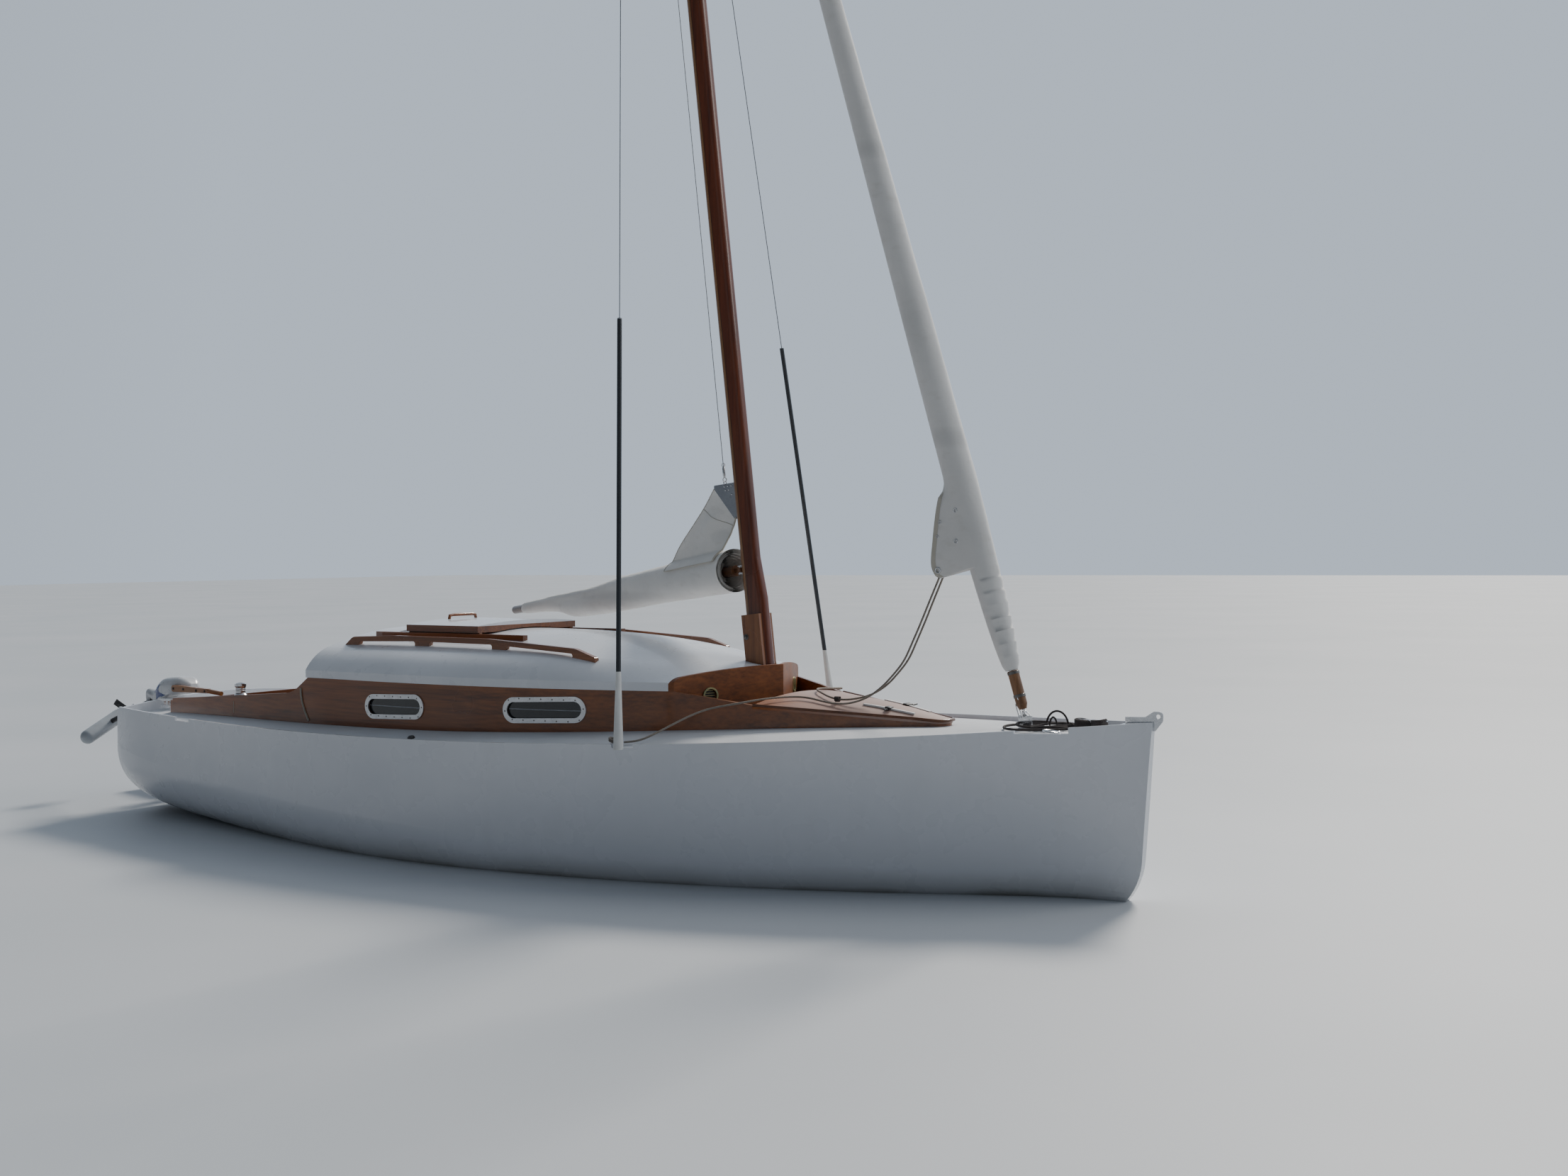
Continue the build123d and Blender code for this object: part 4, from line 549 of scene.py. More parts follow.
def table_value(rows, at):
    """Reads a table of pairs along a smooth curve through its rows."""
    at = min(max(at, rows[0][0]), rows[-1][0])
    last = len(rows) - 1
    i = max(k for k in range(last) if rows[k][0] <= at or k == 0)

    def slope(k):
        (a, x), (b, y) = rows[max(k - 1, 0)], rows[min(k + 1, last)]
        return (y - x) / (b - a)

    (a, x), (b, y) = rows[i], rows[i + 1]
    step = b - a
    t = (at - a) / step
    first, second = slope(i) * step, slope(i + 1) * step
    bend = (2 * t**3 - 3 * t**2 + 1) * x + (t**3 - 2 * t**2 + t) * first
    return bend + (3 * t**2 - 2 * t**3) * y + (t**3 - t**2) * second


def grid_faces(rows, columns):
    return [
        (i * columns + k, i * columns + k + 1, (i + 1) * columns + k + 1, (i + 1) * columns + k)
        for i in range(rows - 1)
        for k in range(columns - 1)
    ]


# Loose ropes: points in metres that each line bends round
SHEET_ROPE, BOW_ROPE = 0.010, 0.012
DROP = [(2.186, 1.478), (2.139, 1.362), (2.097, 1.254), (2.054, 1.152)]
DROP += [(2.016, 1.062), (1.962, 0.992), (1.908, 0.932)]
DECK_RUN = [
    (1.330, 0.470, 0.862), (1.245, 0.514, 0.846), (1.185, 0.552, 0.832),
    (1.138, 0.618, 0.808), (1.102, 0.706, 0.774), (1.066, 0.800, 0.736),
    (1.030, 0.860, 0.708), (0.988, 0.890, 0.695), (0.940, 0.903, 0.691),
]
SHEET_STARBOARD = [(x, -0.012 - 0.33 * (DROP[0][0] - x), z) for x, z in DROP]
SHEET_STARBOARD += [
    (1.850, -0.140, 0.882), (1.785, -0.190, 0.856), (1.716, -0.214, 0.852), (1.640, -0.216, 0.861),
    (1.556, -0.202, 0.874), (1.486, -0.214, 0.879), (1.430, -0.300, 0.879), (1.384, -0.396, 0.874),
]
SHEET_STARBOARD += [(x, -y, z) for x, y, z in DECK_RUN]
SHEET_PORT = [(x + 0.006, 0.020 - 0.3 * (DROP[0][0] - x), z + 0.006) for x, z in DROP]
SHEET_PORT += [
    (1.848, -0.100, 0.892), (1.776, -0.146, 0.872), (1.700, -0.164, 0.868), (1.626, -0.140, 0.878),
    (1.560, -0.090, 0.888), (1.486, -0.020, 0.894), (1.424, 0.070, 0.894), (1.396, 0.180, 0.888),
    (1.390, 0.300, 0.878), (1.376, 0.400, 0.872),
]
SHEET_PORT += DECK_RUN
BOW_LINE = [
    (2.905, -0.030, 0.779), (2.850, -0.092, 0.776), (2.770, -0.146, 0.774), (2.680, -0.168, 0.771),
    (2.590, -0.140, 0.768), (2.540, -0.066, 0.769), (2.534, 0.020, 0.769), (2.572, 0.098, 0.768),
    (2.650, 0.146, 0.770), (2.744, 0.140, 0.775), (2.822, 0.096, 0.778), (2.846, 0.030, 0.780),
]
SHEET_LENGTHS, BOW_LENGTH = (2.034, 2.300), 0.956
CLEW = Vector((2.188, 0.004, 1.492))
# Knots at the clew: side, name, offset to port and up
SHEET_KNOTS = [(-1, "starboard", -0.016, -0.012), (1, "port", 0.020, -0.006)]
BOW_CLEAT, TRUNK_KNOT = (2.955, 0, 0.786), (1.690, -0.163, 0.871)
SIDE_CLEAT_X, SIDE_CLEAT_Y, SIDE_CLEAT_Z = 0.890, 0.905, 0.690
# Heights of the loops on the foredeck; flat ones are (middle, half width, half length, angle)
STANDING_FOOT, FLAT_LEVEL = 0.776, 0.781
FLAT_LOOPS = [(2.700, 0.105, 0.120, 0.3), (2.735, 0.085, 0.135, -0.5), (2.790, 0.060, 0.130, 0.9)]
EIGHT_STEPS, FLAT_STEPS = 40, 48


def route(name, points, diameter):
    """A curve of one smooth spline with the points as its control points."""
    data = bpy.data.curves.new(name, "CURVE")
    data.dimensions = "3D"
    data.bevel_depth = diameter / 2
    data.bevel_resolution = 4
    data.resolution_u = 10
    data.use_fill_caps = True
    spline = data.splines.new("NURBS")
    spline.points.add(len(points) - 1)
    for spot, place in zip(spline.points, points):
        spot.co = (*place, 1)
    spline.order_u = 3
    spline.use_endpoint_u = True
    return placed(name, data)


def rope(name, points, diameter, length, look, slot, extras):
    made = route(name + "_line", points, diameter)
    made.data.materials.append(LOOKS[look])
    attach(made, "boat")
    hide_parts(name)


def eight(centre, half_length, half_width, rise, turns):
    """Figure-of-eight turns on a cleat that lies fore and aft."""
    points = []
    for i in range(turns * EIGHT_STEPS + 1):
        t = 2 * math.pi * i / EIGHT_STEPS
        lift = rise * i / (turns * EIGHT_STEPS)
        over = 0.45 * rise * math.cos(2 * t) / turns
        spot = Vector((half_length * math.cos(t), half_width * math.sin(2 * t), lift + over))
        points.append(Vector(centre) + spot)
    return points


def standing_loop(x, y, half_width, rise, steps):
    angles = [math.pi * k / steps for k in range(steps + 1)]
    return [Vector((x - half_width * math.cos(t), y, STANDING_FOOT + rise * math.sin(t))) for t in angles]


def flat_loop(at, wide, long, lean):
    ring = []
    for k in range(FLAT_STEPS):
        t = 2 * math.pi * k / FLAT_STEPS
        ripple = 1 + 0.10 * math.sin(3 * t + lean * 5)
        along, across = long * math.cos(t) * ripple, wide * math.sin(t) * ripple
        x = along * math.cos(lean) - across * math.sin(lean)
        y = along * math.sin(lean) + across * math.cos(lean)
        ring.append(Vector((at, 0.004, FLAT_LEVEL + 0.004 * math.sin(2 * t + at * 40))) + Vector((x, y, 0)))
    return tube(ring, 0.006, 8, True)


def turned(name, points, thick, look="rope", slot="sheet_rope", more=()):
    """A piece of line that lies in turns."""
    return piece(name, [tube(points, thick), *more], look)


def make_ropes():
    knots, turns = [], []
    for side, name, out, up in SHEET_KNOTS:
        centre = CLEW + Vector((0.004 * side, out, up))
        around = loops(centre, (0.4, -0.1 * side, 1), 0.009, 0.009, 2.6)
        knots.append(turned("sheet_knot_" + name, around, 0.005))
    for side, name, _, _ in SHEET_KNOTS:
        around = eight((SIDE_CLEAT_X, side * SIDE_CLEAT_Y, SIDE_CLEAT_Z), 0.036, 0.012, 0.018, 2)
        turns.append(turned("cleat_turns_" + name, around, 0.005))
    dark = ("dark_rope", "dark_rope")
    around = loops(TRUNK_KNOT, (1, 0.2, 0), 0.010, 0.008, 3.2)
    tie = turned("trunk_knot", around, 0.0045, *dark)
    heap = [tube(standing_loop(2.775, 0.030, 0.055, 0.070, 16), 0.005, 8)]
    heap.append(tube(standing_loop(2.762, 0.012, 0.018, 0.042, 12), 0.0045, 8))
    heap += [flat_loop(*row) for row in FLAT_LOOPS]
    around = eight(BOW_CLEAT, 0.072, 0.036, 0.030, 4)
    bow = turned("bow_cleat_turns", around, 0.006, *dark, heap)
    end = turned("bow_line_knot", loops(BOW_LINE[-1], (0.2, -1, 0), 0.009, 0.010, 2.2), 0.006, *dark)
    pale = ("rope", "sheet_rope")
    starboard, port = [knots[0], turns[0]], [knots[1], turns[1], tie]
    rope("jib_sheet_starboard", SHEET_STARBOARD, SHEET_ROPE, SHEET_LENGTHS[0], *pale, starboard)
    rope("jib_sheet_port", SHEET_PORT, SHEET_ROPE, SHEET_LENGTHS[1], *pale, port)
    rope("bow_line", BOW_LINE, BOW_ROPE, BOW_LENGTH, *dark, [bow, end])


make_ropes()

# Mainsail rolled round the boom; rows are (distance from the pin, size)
ROLL = [(0.055, 0.118), (0.35, 0.115), (0.8, 0.105), (1.5, 0.086), (1.85, 0.066), (2.1, 0.054), (2.6, 0.049)]
ROLL += [(3.16, 0.041), (3.20, 0.036)]
SAG = [(0.0, 0.0), (0.4, 0.004), (1.0, 0.028), (1.7, 0.080), (2.05, 0.105), (2.25, 0.100)]
SAG += [(2.6, 0.022), (3.2, 0.0)]
TURNS, CORE, SLACK_TURNS = 11, 0.0305, 1.6
ROLL_ROWS, TURN_STEPS = 120, 32
ROLL_START, ROLL_END, START_ANGLE = 0.055, 3.185, 0.6
# Depth of the hollow in the roll's fore end, and the shares of the turns between which it fills up
HOLLOW, HOLLOW_FROM, HOLLOW_OVER = 0.085, 0.45, 0.25


def mainsail():
    columns = TURNS * TURN_STEPS + 1
    verts = []
    for i in range(ROLL_ROWS):
        share_along = i / (ROLL_ROWS - 1)
        for k in range(columns):
            turn = k / TURN_STEPS
            share = turn / TURNS
            start = ROLL_START + HOLLOW * (1 - min(1.0, max(0.0, (share - HOLLOW_FROM) / HOLLOW_OVER)))
            s = start + (ROLL_END - start) * share_along
            t = 2 * math.pi * turn + START_ANGLE
            radius = CORE + (table_value(ROLL, s) - CORE) * share
            out = BOOM_UP * math.cos(t) + BOOM_SIDE * math.sin(t)
            loose = max(0.0, (turn - TURNS + SLACK_TURNS) / SLACK_TURNS)
            down = max(0.0, -math.cos(t)) ** 1.6
            spot = Vector((s * 2.2, math.cos(t) * 0.6, math.sin(t) * 0.6))
            folds = noise.noise(spot * 2.1) * 0.5 + noise.noise(spot * 5.3 + Vector((s * 4, 0, 7))) * 0.3
            pull = noise.noise(Vector((s * 1.1 + t * 0.35, 5, t * 0.8)))
            ripples = (0.007 * folds + 0.006 * pull) * min(1.0, s / 0.3)
            radius += loose * (table_value(SAG, s) * down + ripples)
            lip = 0.005 * math.sin(turn * 2.1) + 0.004 * noise.noise(Vector((turn * 1.7, 3, 1)))
            end = max(0.0, 1 - (s - start) / 0.12)
            verts.append(PIN + BOOM_RUN * (s + lip * end) + out * radius)
    cloth = [(verts, grid_faces(ROLL_ROWS, columns))]
    made = piece("mainsail_cloth", cloth, "sail", "boom", 180)
    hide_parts("mainsail_roll")


mainsail()

# Head of the mainsail, from the headboard down to the roll
HEAD_ROWS, HEAD_COLUMNS, TABLET_ROW = 40, 26, 8
WRAP_START, WRAP_FROM, WRAP_TO = 0.78, 0.35, 1.05


def sail_head():
    verts = []
    for i in range(HEAD_ROWS):
        t = i / (HEAD_ROWS - 1)
        for k in range(HEAD_COLUMNS):
            u = k / (HEAD_COLUMNS - 1)
            top = on_mast(-0.066 - 0.124 * u, -0.003, 1.026 + 0.166 * u)
            s = 0.10 + 0.62 * u
            hang = min(1.0, t / WRAP_START)
            turn = WRAP_FROM + (WRAP_TO - WRAP_FROM) * max(0.0, (t - WRAP_START) / (1 - WRAP_START))
            out = BOOM_UP * math.cos(turn) - BOOM_SIDE * math.sin(turn)
            base = PIN + BOOM_RUN * s + out * (table_value(ROLL, s) + 0.006)
            point = top.lerp(base, hang)
            ease = math.sin(math.pi * hang)
            fold = noise.noise(Vector((u * 2.5, t * 3.1, 4.2))) * 0.016 + 0.010 * math.sin(8 * u + 4 * t)
            point += BOOM_SIDE * ease * (fold - 0.014 * math.sin(math.pi * u))
            point += BOOM_RUN * 0.018 * math.sin(math.pi * u) * ease
            verts.append(point)
    cloth = [(verts, grid_faces(HEAD_ROWS, HEAD_COLUMNS))]
    made = piece("sail_head_cloth", cloth, "sail", None, 180)
    leech = [verts[i * HEAD_COLUMNS + HEAD_COLUMNS - 1] for i in range(HEAD_ROWS)]
    luff = [verts[i * HEAD_COLUMNS] for i in range(HEAD_ROWS)]
    foot = verts[-HEAD_COLUMNS:]
    tablet = [verts[TABLET_ROW * HEAD_COLUMNS + k] - BOOM_SIDE * 0.0015 for k in range(HEAD_COLUMNS)]
    edges = ((leech, 0.0028), (luff, 0.005), (foot, 0.0022), (tablet, 0.0016))
    tubes = [tube(edge, radius, 6) for edge, radius in edges]
    hems = piece("sail_head_hems", tubes, "tape", None, 180)
    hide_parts("sail_head")
    for cloth in (made, hems):
        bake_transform(cloth)


sail_head()

# Jib rolled round its stay, with the clew left out; rows are (height on the stay, size)
JIB = [
    (1.030, 0.030), (1.060, 0.042), (1.225, 0.058), (1.460, 0.068), (1.830, 0.078),
    (2.100, 0.077), (2.600, 0.073), (4.360, 0.054), (6.000, 0.038), (7.860, 0.017),
]
FLAP = [(1.526, 0.150), (1.545, 0.172), (1.600, 0.176), (1.700, 0.130), (1.820, 0.070)]
FLAP += [(1.910, 0.022), (1.980, 0.0)]
JIB_TURNS, JIB_CORE, JIB_STEPS, JIB_ROWS, FLAP_STEPS = 8, 0.010, 28, 150, 10
JIB_ALL_TURNS = JIB_TURNS + 0.75
JIB_LOW, JIB_RISE = 1.032, 6.82
WRAPS_END, WRAP_PITCH, WRAP_STEP = 1.520, 0.061, 0.0065


def jib_spot(z):
    """Point on the stay at a height."""
    return STAY_FOOT + STAY_RUN * ((z - STAY_FOOT.z) / STAY_RUN.z)


def flap_reach(z):
    return table_value(FLAP, z) if FLAP[0][0] <= z < FLAP[-1][0] else 0.0


def flap_spot(z, share, out=0.0):
    """Point of the loose corner, from the roll's side to the leech, or on the roll where wound in."""
    outer, reach = table_value(JIB, z) + 0.001, flap_reach(z)
    centre = jib_spot(z)
    wave = 0.007 * math.sin(2.6 * share + z * 8) * share + 0.35 * outer * share
    loose = centre - PORT * (outer - wave - out) - STAY_FORE * (outer + reach) * share
    t = 0.5 * math.pi * share
    wound = centre - (PORT * math.cos(t) + STAY_FORE * math.sin(t)) * (outer + 0.001 * share - out)
    return wound.lerp(loose, min(1.0, reach / 0.035))


def wrap_step(z):
    """Stepped edges where the foot of the sail is wound below its loose corner."""
    if z > WRAPS_END:
        return 0.0
    place = (z - JIB_LOW) / WRAP_PITCH
    return WRAP_STEP * (place - math.floor(place) - 0.5) * min(1.0, (WRAPS_END - z) / 0.03)


def jib():
    spiral = int(JIB_ALL_TURNS * JIB_STEPS)
    shares = [k / (JIB_ROWS - 1) for k in range(JIB_ROWS)]
    heights = [JIB_LOW + JIB_RISE * (0.55 * i + 0.45 * i * i) for i in shares]
    heights += [FLAP[0][0] + step for step in (-0.001, 0.0005, 0.005, 0.010, 0.017)]
    wraps = [JIB_LOW + WRAP_PITCH * k for k in range(1, int((WRAPS_END - JIB_LOW) / WRAP_PITCH) + 1)]
    heights = sorted(heights + [edge + step for edge in wraps for step in (-0.003, 0.0)])
    verts = []
    for z in heights:
        outer = table_value(JIB, z)
        centre = jib_spot(z)
        for k in range(spiral + 1):
            turn = k / JIB_STEPS
            t = 2 * math.pi * turn
            way = STAY_FORE * -math.cos(t) + PORT * math.sin(t)
            share = turn / JIB_ALL_TURNS
            radius = JIB_CORE + (outer - JIB_CORE) * share
            loose = max(0.0, turn - JIB_TURNS + 0.45) * (1 - max(0.0, turn - JIB_TURNS - 0.35) / 0.4)
            spot = Vector((z * 1.7, math.cos(t), math.sin(t)))
            radius += loose * 0.004 * noise.noise(spot * 1.9) + loose * 0.0022 * noise.noise(spot * 6.1)
            radius += share * wrap_step(z)
            verts.append(centre + way * radius)
        verts += [flap_spot(z, k / FLAP_STEPS) for k in range(1, FLAP_STEPS + 1)]
    columns = spiral + 1 + FLAP_STEPS
    made = piece("jib_cloth", [(verts, grid_faces(len(heights), columns))], "jib", "boat", 180)
    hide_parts("jib_roll")


jib()

# The jib's corner: clew ring (height on the stay, share of the way out, radius), eyelets and edge tape
CLEW_RING = (1.566, 0.88, 0.013)
EYELETS = [(1.665, 0.35, 0.009), (1.800, 0.22, 0.009), (1.775, 0.80, 0.007), (1.715, 0.86, 0.006)]
TAPE_LOW, TAPE_RISE, TAPE_ROWS, TAPE_WIDTH = 1.530, 0.37, 25, 0.026


def jib_corner():
    z, share, radius = CLEW_RING
    rings = [torus(flap_spot(z, share, side * 0.003), PORT, radius, 0.0035) for side in (-1, 1)]
    for z, share, radius in EYELETS:
        rings += [torus(flap_spot(z, share, side * 0.0025), PORT, radius, 0.002) for side in (-1, 1)]
    piece("jib_clew_rings", rings, "steel")
    strips = []
    for side in (-1, 1):
        verts = []
        for i in range(TAPE_ROWS):
            z = TAPE_LOW + TAPE_RISE * i / (TAPE_ROWS - 1)
            width = min(0.5, TAPE_WIDTH / (flap_reach(z) + table_value(JIB, z)))
            verts += [flap_spot(z, 1.0 - width, side * 0.0016), flap_spot(z, 1.0, side * 0.0012)]
        strips.append((verts, grid_faces(TAPE_ROWS, 2)))
    piece("jib_leech_tape", strips, "tape", flat=180)


jib_corner()

# Small fittings and trim; rays to find a surface start above the boat or beside it
TREES = {}
ABOVE, BESIDE = 3.0, 1.5


def tree_of(node):
    if node not in TREES:
        data = NODES[node].data
        faces = [p.vertices[:] for p in data.polygons]
        TREES[node] = BVHTree.FromPolygons([v.co for v in data.vertices], faces)
    return TREES[node]


def meet(node, start, way):
    """Where a line meets a CAD node, with the surface's direction there."""
    at, normal, _, _ = tree_of(node).ray_cast(Vector(start), Vector(way).normalized())
    return at, normal


def on_top(node, x, y):
    return meet(node, (x, y, ABOVE), (0, 0, -1))


def on_side(node, side, x, z):
    return meet(node, (x, side * BESIDE, z), (0, -side, 0))


# Windows are (x, z, length, height)
WINDOWS = [(0.287, 0.802, 0.486, 0.134), (-0.715, 0.781, 0.450, 0.134)]
FRAME_INSET, FRAME_SCREWS, RAIL_STEPS = 0.012, 16, 8


def around_window(length, height):
    """Places of the screws along the middle of a round-ended frame."""
    radius, straight = height / 2 - FRAME_INSET, length - height
    half = straight + math.pi * radius
    for side in SIDES:
        for k in range(FRAME_SCREWS // 2):
            along = 2 * half * (k + 0.5) / FRAME_SCREWS
            if along < straight:
                yield side * (along - straight / 2), side * radius
            else:
                t = (along - straight) / radius
                yield side * (straight / 2 + radius * math.sin(t)), side * radius * math.cos(t)


def window_details():
    screws, rails = [], []
    for side in SIDES:
        for x, z, length, height in WINDOWS:
            for along, up in around_window(length, height):
                screws.append(screw(*on_side("window_frames", side, x + along, z + up), 0.0042))
            reach = length / 2 - 0.030
            spots = [x - reach + 2 * reach * k / RAIL_STEPS for k in range(RAIL_STEPS + 1)]
            line = [on_side("window_panes", side, spot, z)[0] + PORT * side * 0.0005 for spot in spots]
            rails.append(tube(line, 0.0022, 6))
    piece("window_screws", screws, "dark_metal")
    piece("window_slide_rails", rails, "alloy")


VENT_X, VENT_Y, VENT_Z = 1.078, 0.385, 0.880
VENT_RADIUS, VENT_SCREW_RADIUS, VENT_SLATS = 0.032, 0.038, 5


def vent_grilles():
    slats, shadow_discs = [], []
    for side in SIDES:
        out = Vector((0.9, side * 0.436, 0)).normalized()
        across = Vector((-out.y, out.x, 0))
        axes = (across, out.cross(across).normalized(), out)
        centre = Vector((VENT_X, side * VENT_Y, VENT_Z)) - out * 0.006
        # Painted shade: a black disc behind the slats stands for the dark hollow inside the vent
        disc = [(0, VENT_RADIUS), (0.001, VENT_RADIUS), (0.002, 0.001)]
        shadow_discs.append(lathe(centre - out * 0.004, out, disc))
        for k in range(VENT_SLATS):
            up = (k - (VENT_SLATS - 1) / 2) * 2 * VENT_RADIUS / VENT_SLATS
            half = math.sqrt(max(0.0001, VENT_RADIUS**2 - up**2)) - 0.001
            slats.append(box(centre + UP * up, (2 * half, 0.003, 0.006), axes))
        for k in range(4):
            t = math.pi * (0.25 + k / 2)
            spot = centre + across * math.cos(t) * VENT_SCREW_RADIUS + UP * (math.sin(t) * VENT_SCREW_RADIUS)
            slats.append(screw(*meet("vent_rings", spot + out * 0.2, -out), 0.003))
    piece("vent_slats", slats, "brass")
    piece("vent_shadow", shadow_discs, "black")


# On the mast, places are (fore, up) from its foot
HEAD_RIVETS = [(-0.078, 1.196), (-0.100, 1.196), (-0.122, 1.196)]
HEAD_RIVETS += [(-0.096, 1.176), (-0.118, 1.176), (-0.080, 1.150)]
TABERNACLE_BOLTS = [(-0.036, 0.395), (-0.036, 0.075), (0.030, 0.235)]
CHEEK_SIDE, HALYARD, SHEAVE_FORE, MASTHEAD = 0.0605, -0.118, -0.102, 8.262
WASHER = [(-0.002, 0.015), (0.002, 0.015), (0.0025, 0.013)]
NUT = [(0.002, 0.009), (0.009, 0.009), (0.011, 0.006)]
SHACKLE = [(0, 0.005), (0.01, 0.008), (0.05, 0.008), (0.06, 0.0045)]
SHEAVE = [(0, 0.018), (0.004, 0.014), (0.010, 0.014), (0.014, 0.018)]
HEEL_WEDGE = [(-0.052, 0.000), (-0.052, 0.50), (-0.064, 0.50), (-0.066, 0.0)]


def mast_details():
    rivets, bolts = [], []
    for fore, up in HEAD_RIVETS:
        rivets += [screw(on_mast(fore, side * 0.004, up), PORT * side, 0.0048) for side in SIDES]
    piece("headboard_rivets", rivets, "steel")
    for fore, up in TABERNACLE_BOLTS:
        for side in SIDES:
            at = on_mast(fore, side * CHEEK_SIDE, up)
            bolts += [lathe(at, PORT * side, WASHER, 20), lathe(at, PORT * side, NUT, 6)]
    piece("tabernacle_bolts", bolts, "dark_metal")
    eye, top = on_mast(HALYARD, 0, 1.232), on_mast(HALYARD - 0.002, 0, MASTHEAD)
    shackle = [torus(on_mast(HALYARD, 0, 1.214), MAST_FORE, 0.012, 0.0028), torus(eye, PORT, 0.011, 0.0028)]
    shackle.append(lathe(on_mast(HALYARD, 0, 1.243), top - eye, SHACKLE, 14))
    shackle.append(torus(on_mast(HALYARD, 0, 1.310), PORT, 0.009, 0.0025))
    piece("halyard_shackle", shackle, "steel")
    piece("halyard", [tube([on_mast(HALYARD, 0, 1.30), top], 0.0022, 8)], "wire")
    axes = (MAST_FORE, PORT, MAST_UP)
    crane = [box(on_mast(-0.075, 0, MASTHEAD + 0.008), (0.13, 0.008, 0.030), axes, 0.002)]
    crane.append(lathe(on_mast(SHEAVE_FORE, -0.007, MASTHEAD), PORT, SHEAVE))
    piece("masthead_sheave", crane, "alloy")
    wedge = prism(HEEL_WEDGE, on_mast(0, 0, 0), MAST_FORE, MAST_UP, 0.058, 0.002)
    piece("mast_heel_wedge", [wedge], "spar")


TRUNK_EDGE = [(1.367, 0.431, 0.848), (1.650, 0.308, 0.826), (1.900, 0.197, 0.806)]
TRUNK_EDGE += [(2.080, 0.117, 0.791), (2.205, 0.072, 0.780), (2.234, 0.030, 0.779)]
# Sheet tracks on the trunk's top: side, aft end and fore end
TRACKS = [(-1, (1.815, -0.118), (2.075, -0.072)), (1, (1.815, 0.100), (2.095, 0.052))]
TRACK_STEPS = 8


def trunk_details():
    edge = [Vector(p) for p in TRUNK_EDGE]
    ring = [Vector((p.x, -p.y, p.z)) for p in edge] + edge[::-1]
    piece("trunk_edge_moulding", [tube(ring, 0.0075, 10)], "rim")
    tracks, slides = [], []
    for side, (x0, y0), (x1, y1) in TRACKS:
        line = []
        for k in range(TRACK_STEPS + 1):
            x, y = x0 + (x1 - x0) * k / TRACK_STEPS, y0 + (y1 - y0) * k / TRACK_STEPS
            line.append(on_top("foredeck_trunk_top", x, y)[0] - UP * 0.001)
        tracks.append(strap(line, 0.026, 0.008))
        middle = line[4]
        way = (line[5] - line[3]).normalized()
        across = Vector((-way.y, way.x, 0))
        axes = (way, across, way.cross(across))
        slides.append(box(middle + UP * 0.008, (0.030, 0.050, 0.012), axes, 0.003))
        arm = [middle + across * 0.010 * side, middle + across * 0.075 * side + UP * 0.006]
        slides.append(tube(arm, 0.004, 8))
    piece("trunk_tracks", tracks, "white")
    piece("trunk_track_slides", slides, "black")


RING_X, RING_Y, FAIRLEAD_X, FAIRLEAD_Y = 2.83, -0.165, -0.42, 0.985
RING_STUD = [(0, 0.014), (0.004, 0.014), (0.010, 0.008), (0.013, 0.003)]
FAIRLEAD = [(-0.002, 0.020), (0.006, 0.020), (0.014, 0.013), (0.016, 0.004)]
STAY_BARREL = [(0, 0.008), (0.004, 0.011), (0.024, 0.011), (0.028, 0.007)]
SPAR_BAND = [(0, 0.0285), (0.001, 0.0295), (0.013, 0.0295), (0.014, 0.0285)]


def deck_details():
    at, normal = on_top("deck", RING_X, RING_Y)
    parts = [torus(at + UP * 0.008, (0.1, 0.05, 1), 0.036, 0.005, 32)]
    parts.append(lathe(at + Vector((0.036, 0, 0)), normal, RING_STUD, 16))
    piece("mooring_ring", parts, "steel")
    spots = [on_top("deck", FAIRLEAD_X, side * FAIRLEAD_Y) for side in SIDES]
    fairleads = [lathe(*spot, FAIRLEAD, 20) for spot in spots]
    piece("deck_fairleads", fairleads, "black")
    links = []
    for side in SIDES:
        start, out = STAY_FOOT + Vector((0.020, side * 0.016, 0.006)), PORT * side
        links.append(tube([start, jib_spot(0.850) + out * 0.010, jib_spot(0.905) + out * 0.0285], 0.0022, 8))
        end = jib_spot(0.880) - STAY_FORE * 0.026 + out * 0.012
        links.append(tube([start + STAY_FORE * -0.045, end], 0.0022, 8))
    links.append(lathe(jib_spot(0.815), STAY_RUN, STAY_BARREL, 16))
    piece("stay_foot_links", links, "steel")
    bands = [lathe(jib_spot(z), STAY_RUN, SPAR_BAND, 24) for z in (0.905, 1.012)]
    piece("jib_spar_bands", bands, "dark_metal")


MOTOR_Y = -0.350
HEAD_AT = Vector((-3.310, MOTOR_Y, 0.728))
HEAD_TILT = math.radians(70)
HEAD_UP = Vector((math.sin(HEAD_TILT), 0, math.cos(HEAD_TILT)))
HEAD_ACROSS = Vector((math.cos(HEAD_TILT), 0, -math.sin(HEAD_TILT)))
BLUE_OUTLINE = [(-0.052, -0.030), (-0.050, 0.020), (-0.030, 0.044)]
BLUE_OUTLINE += [(0.010, 0.050), (0.052, 0.044), (0.052, -0.034)]
ARM_BOLTS = [(-3.130, 0.757), (-3.030, 0.757), (-2.900, 0.753), (-2.815, 0.752)]
ARM_BOLT = [(-0.002, 0.0075), (0.003, 0.0075), (0.004, 0.005)]
KNOB_SIDES, KNOB_HEIGHT = (-0.055, 0.055), 0.66
KNOB = [(-0.004, 0.009), (0.022, 0.009), (0.026, 0.005)]


def beside_head(p):
    """The point level with p just outside the motor head's starboard face."""
    return on_side("outboard_head", -1, p.x, p.z)[0] - PORT * 0.0015


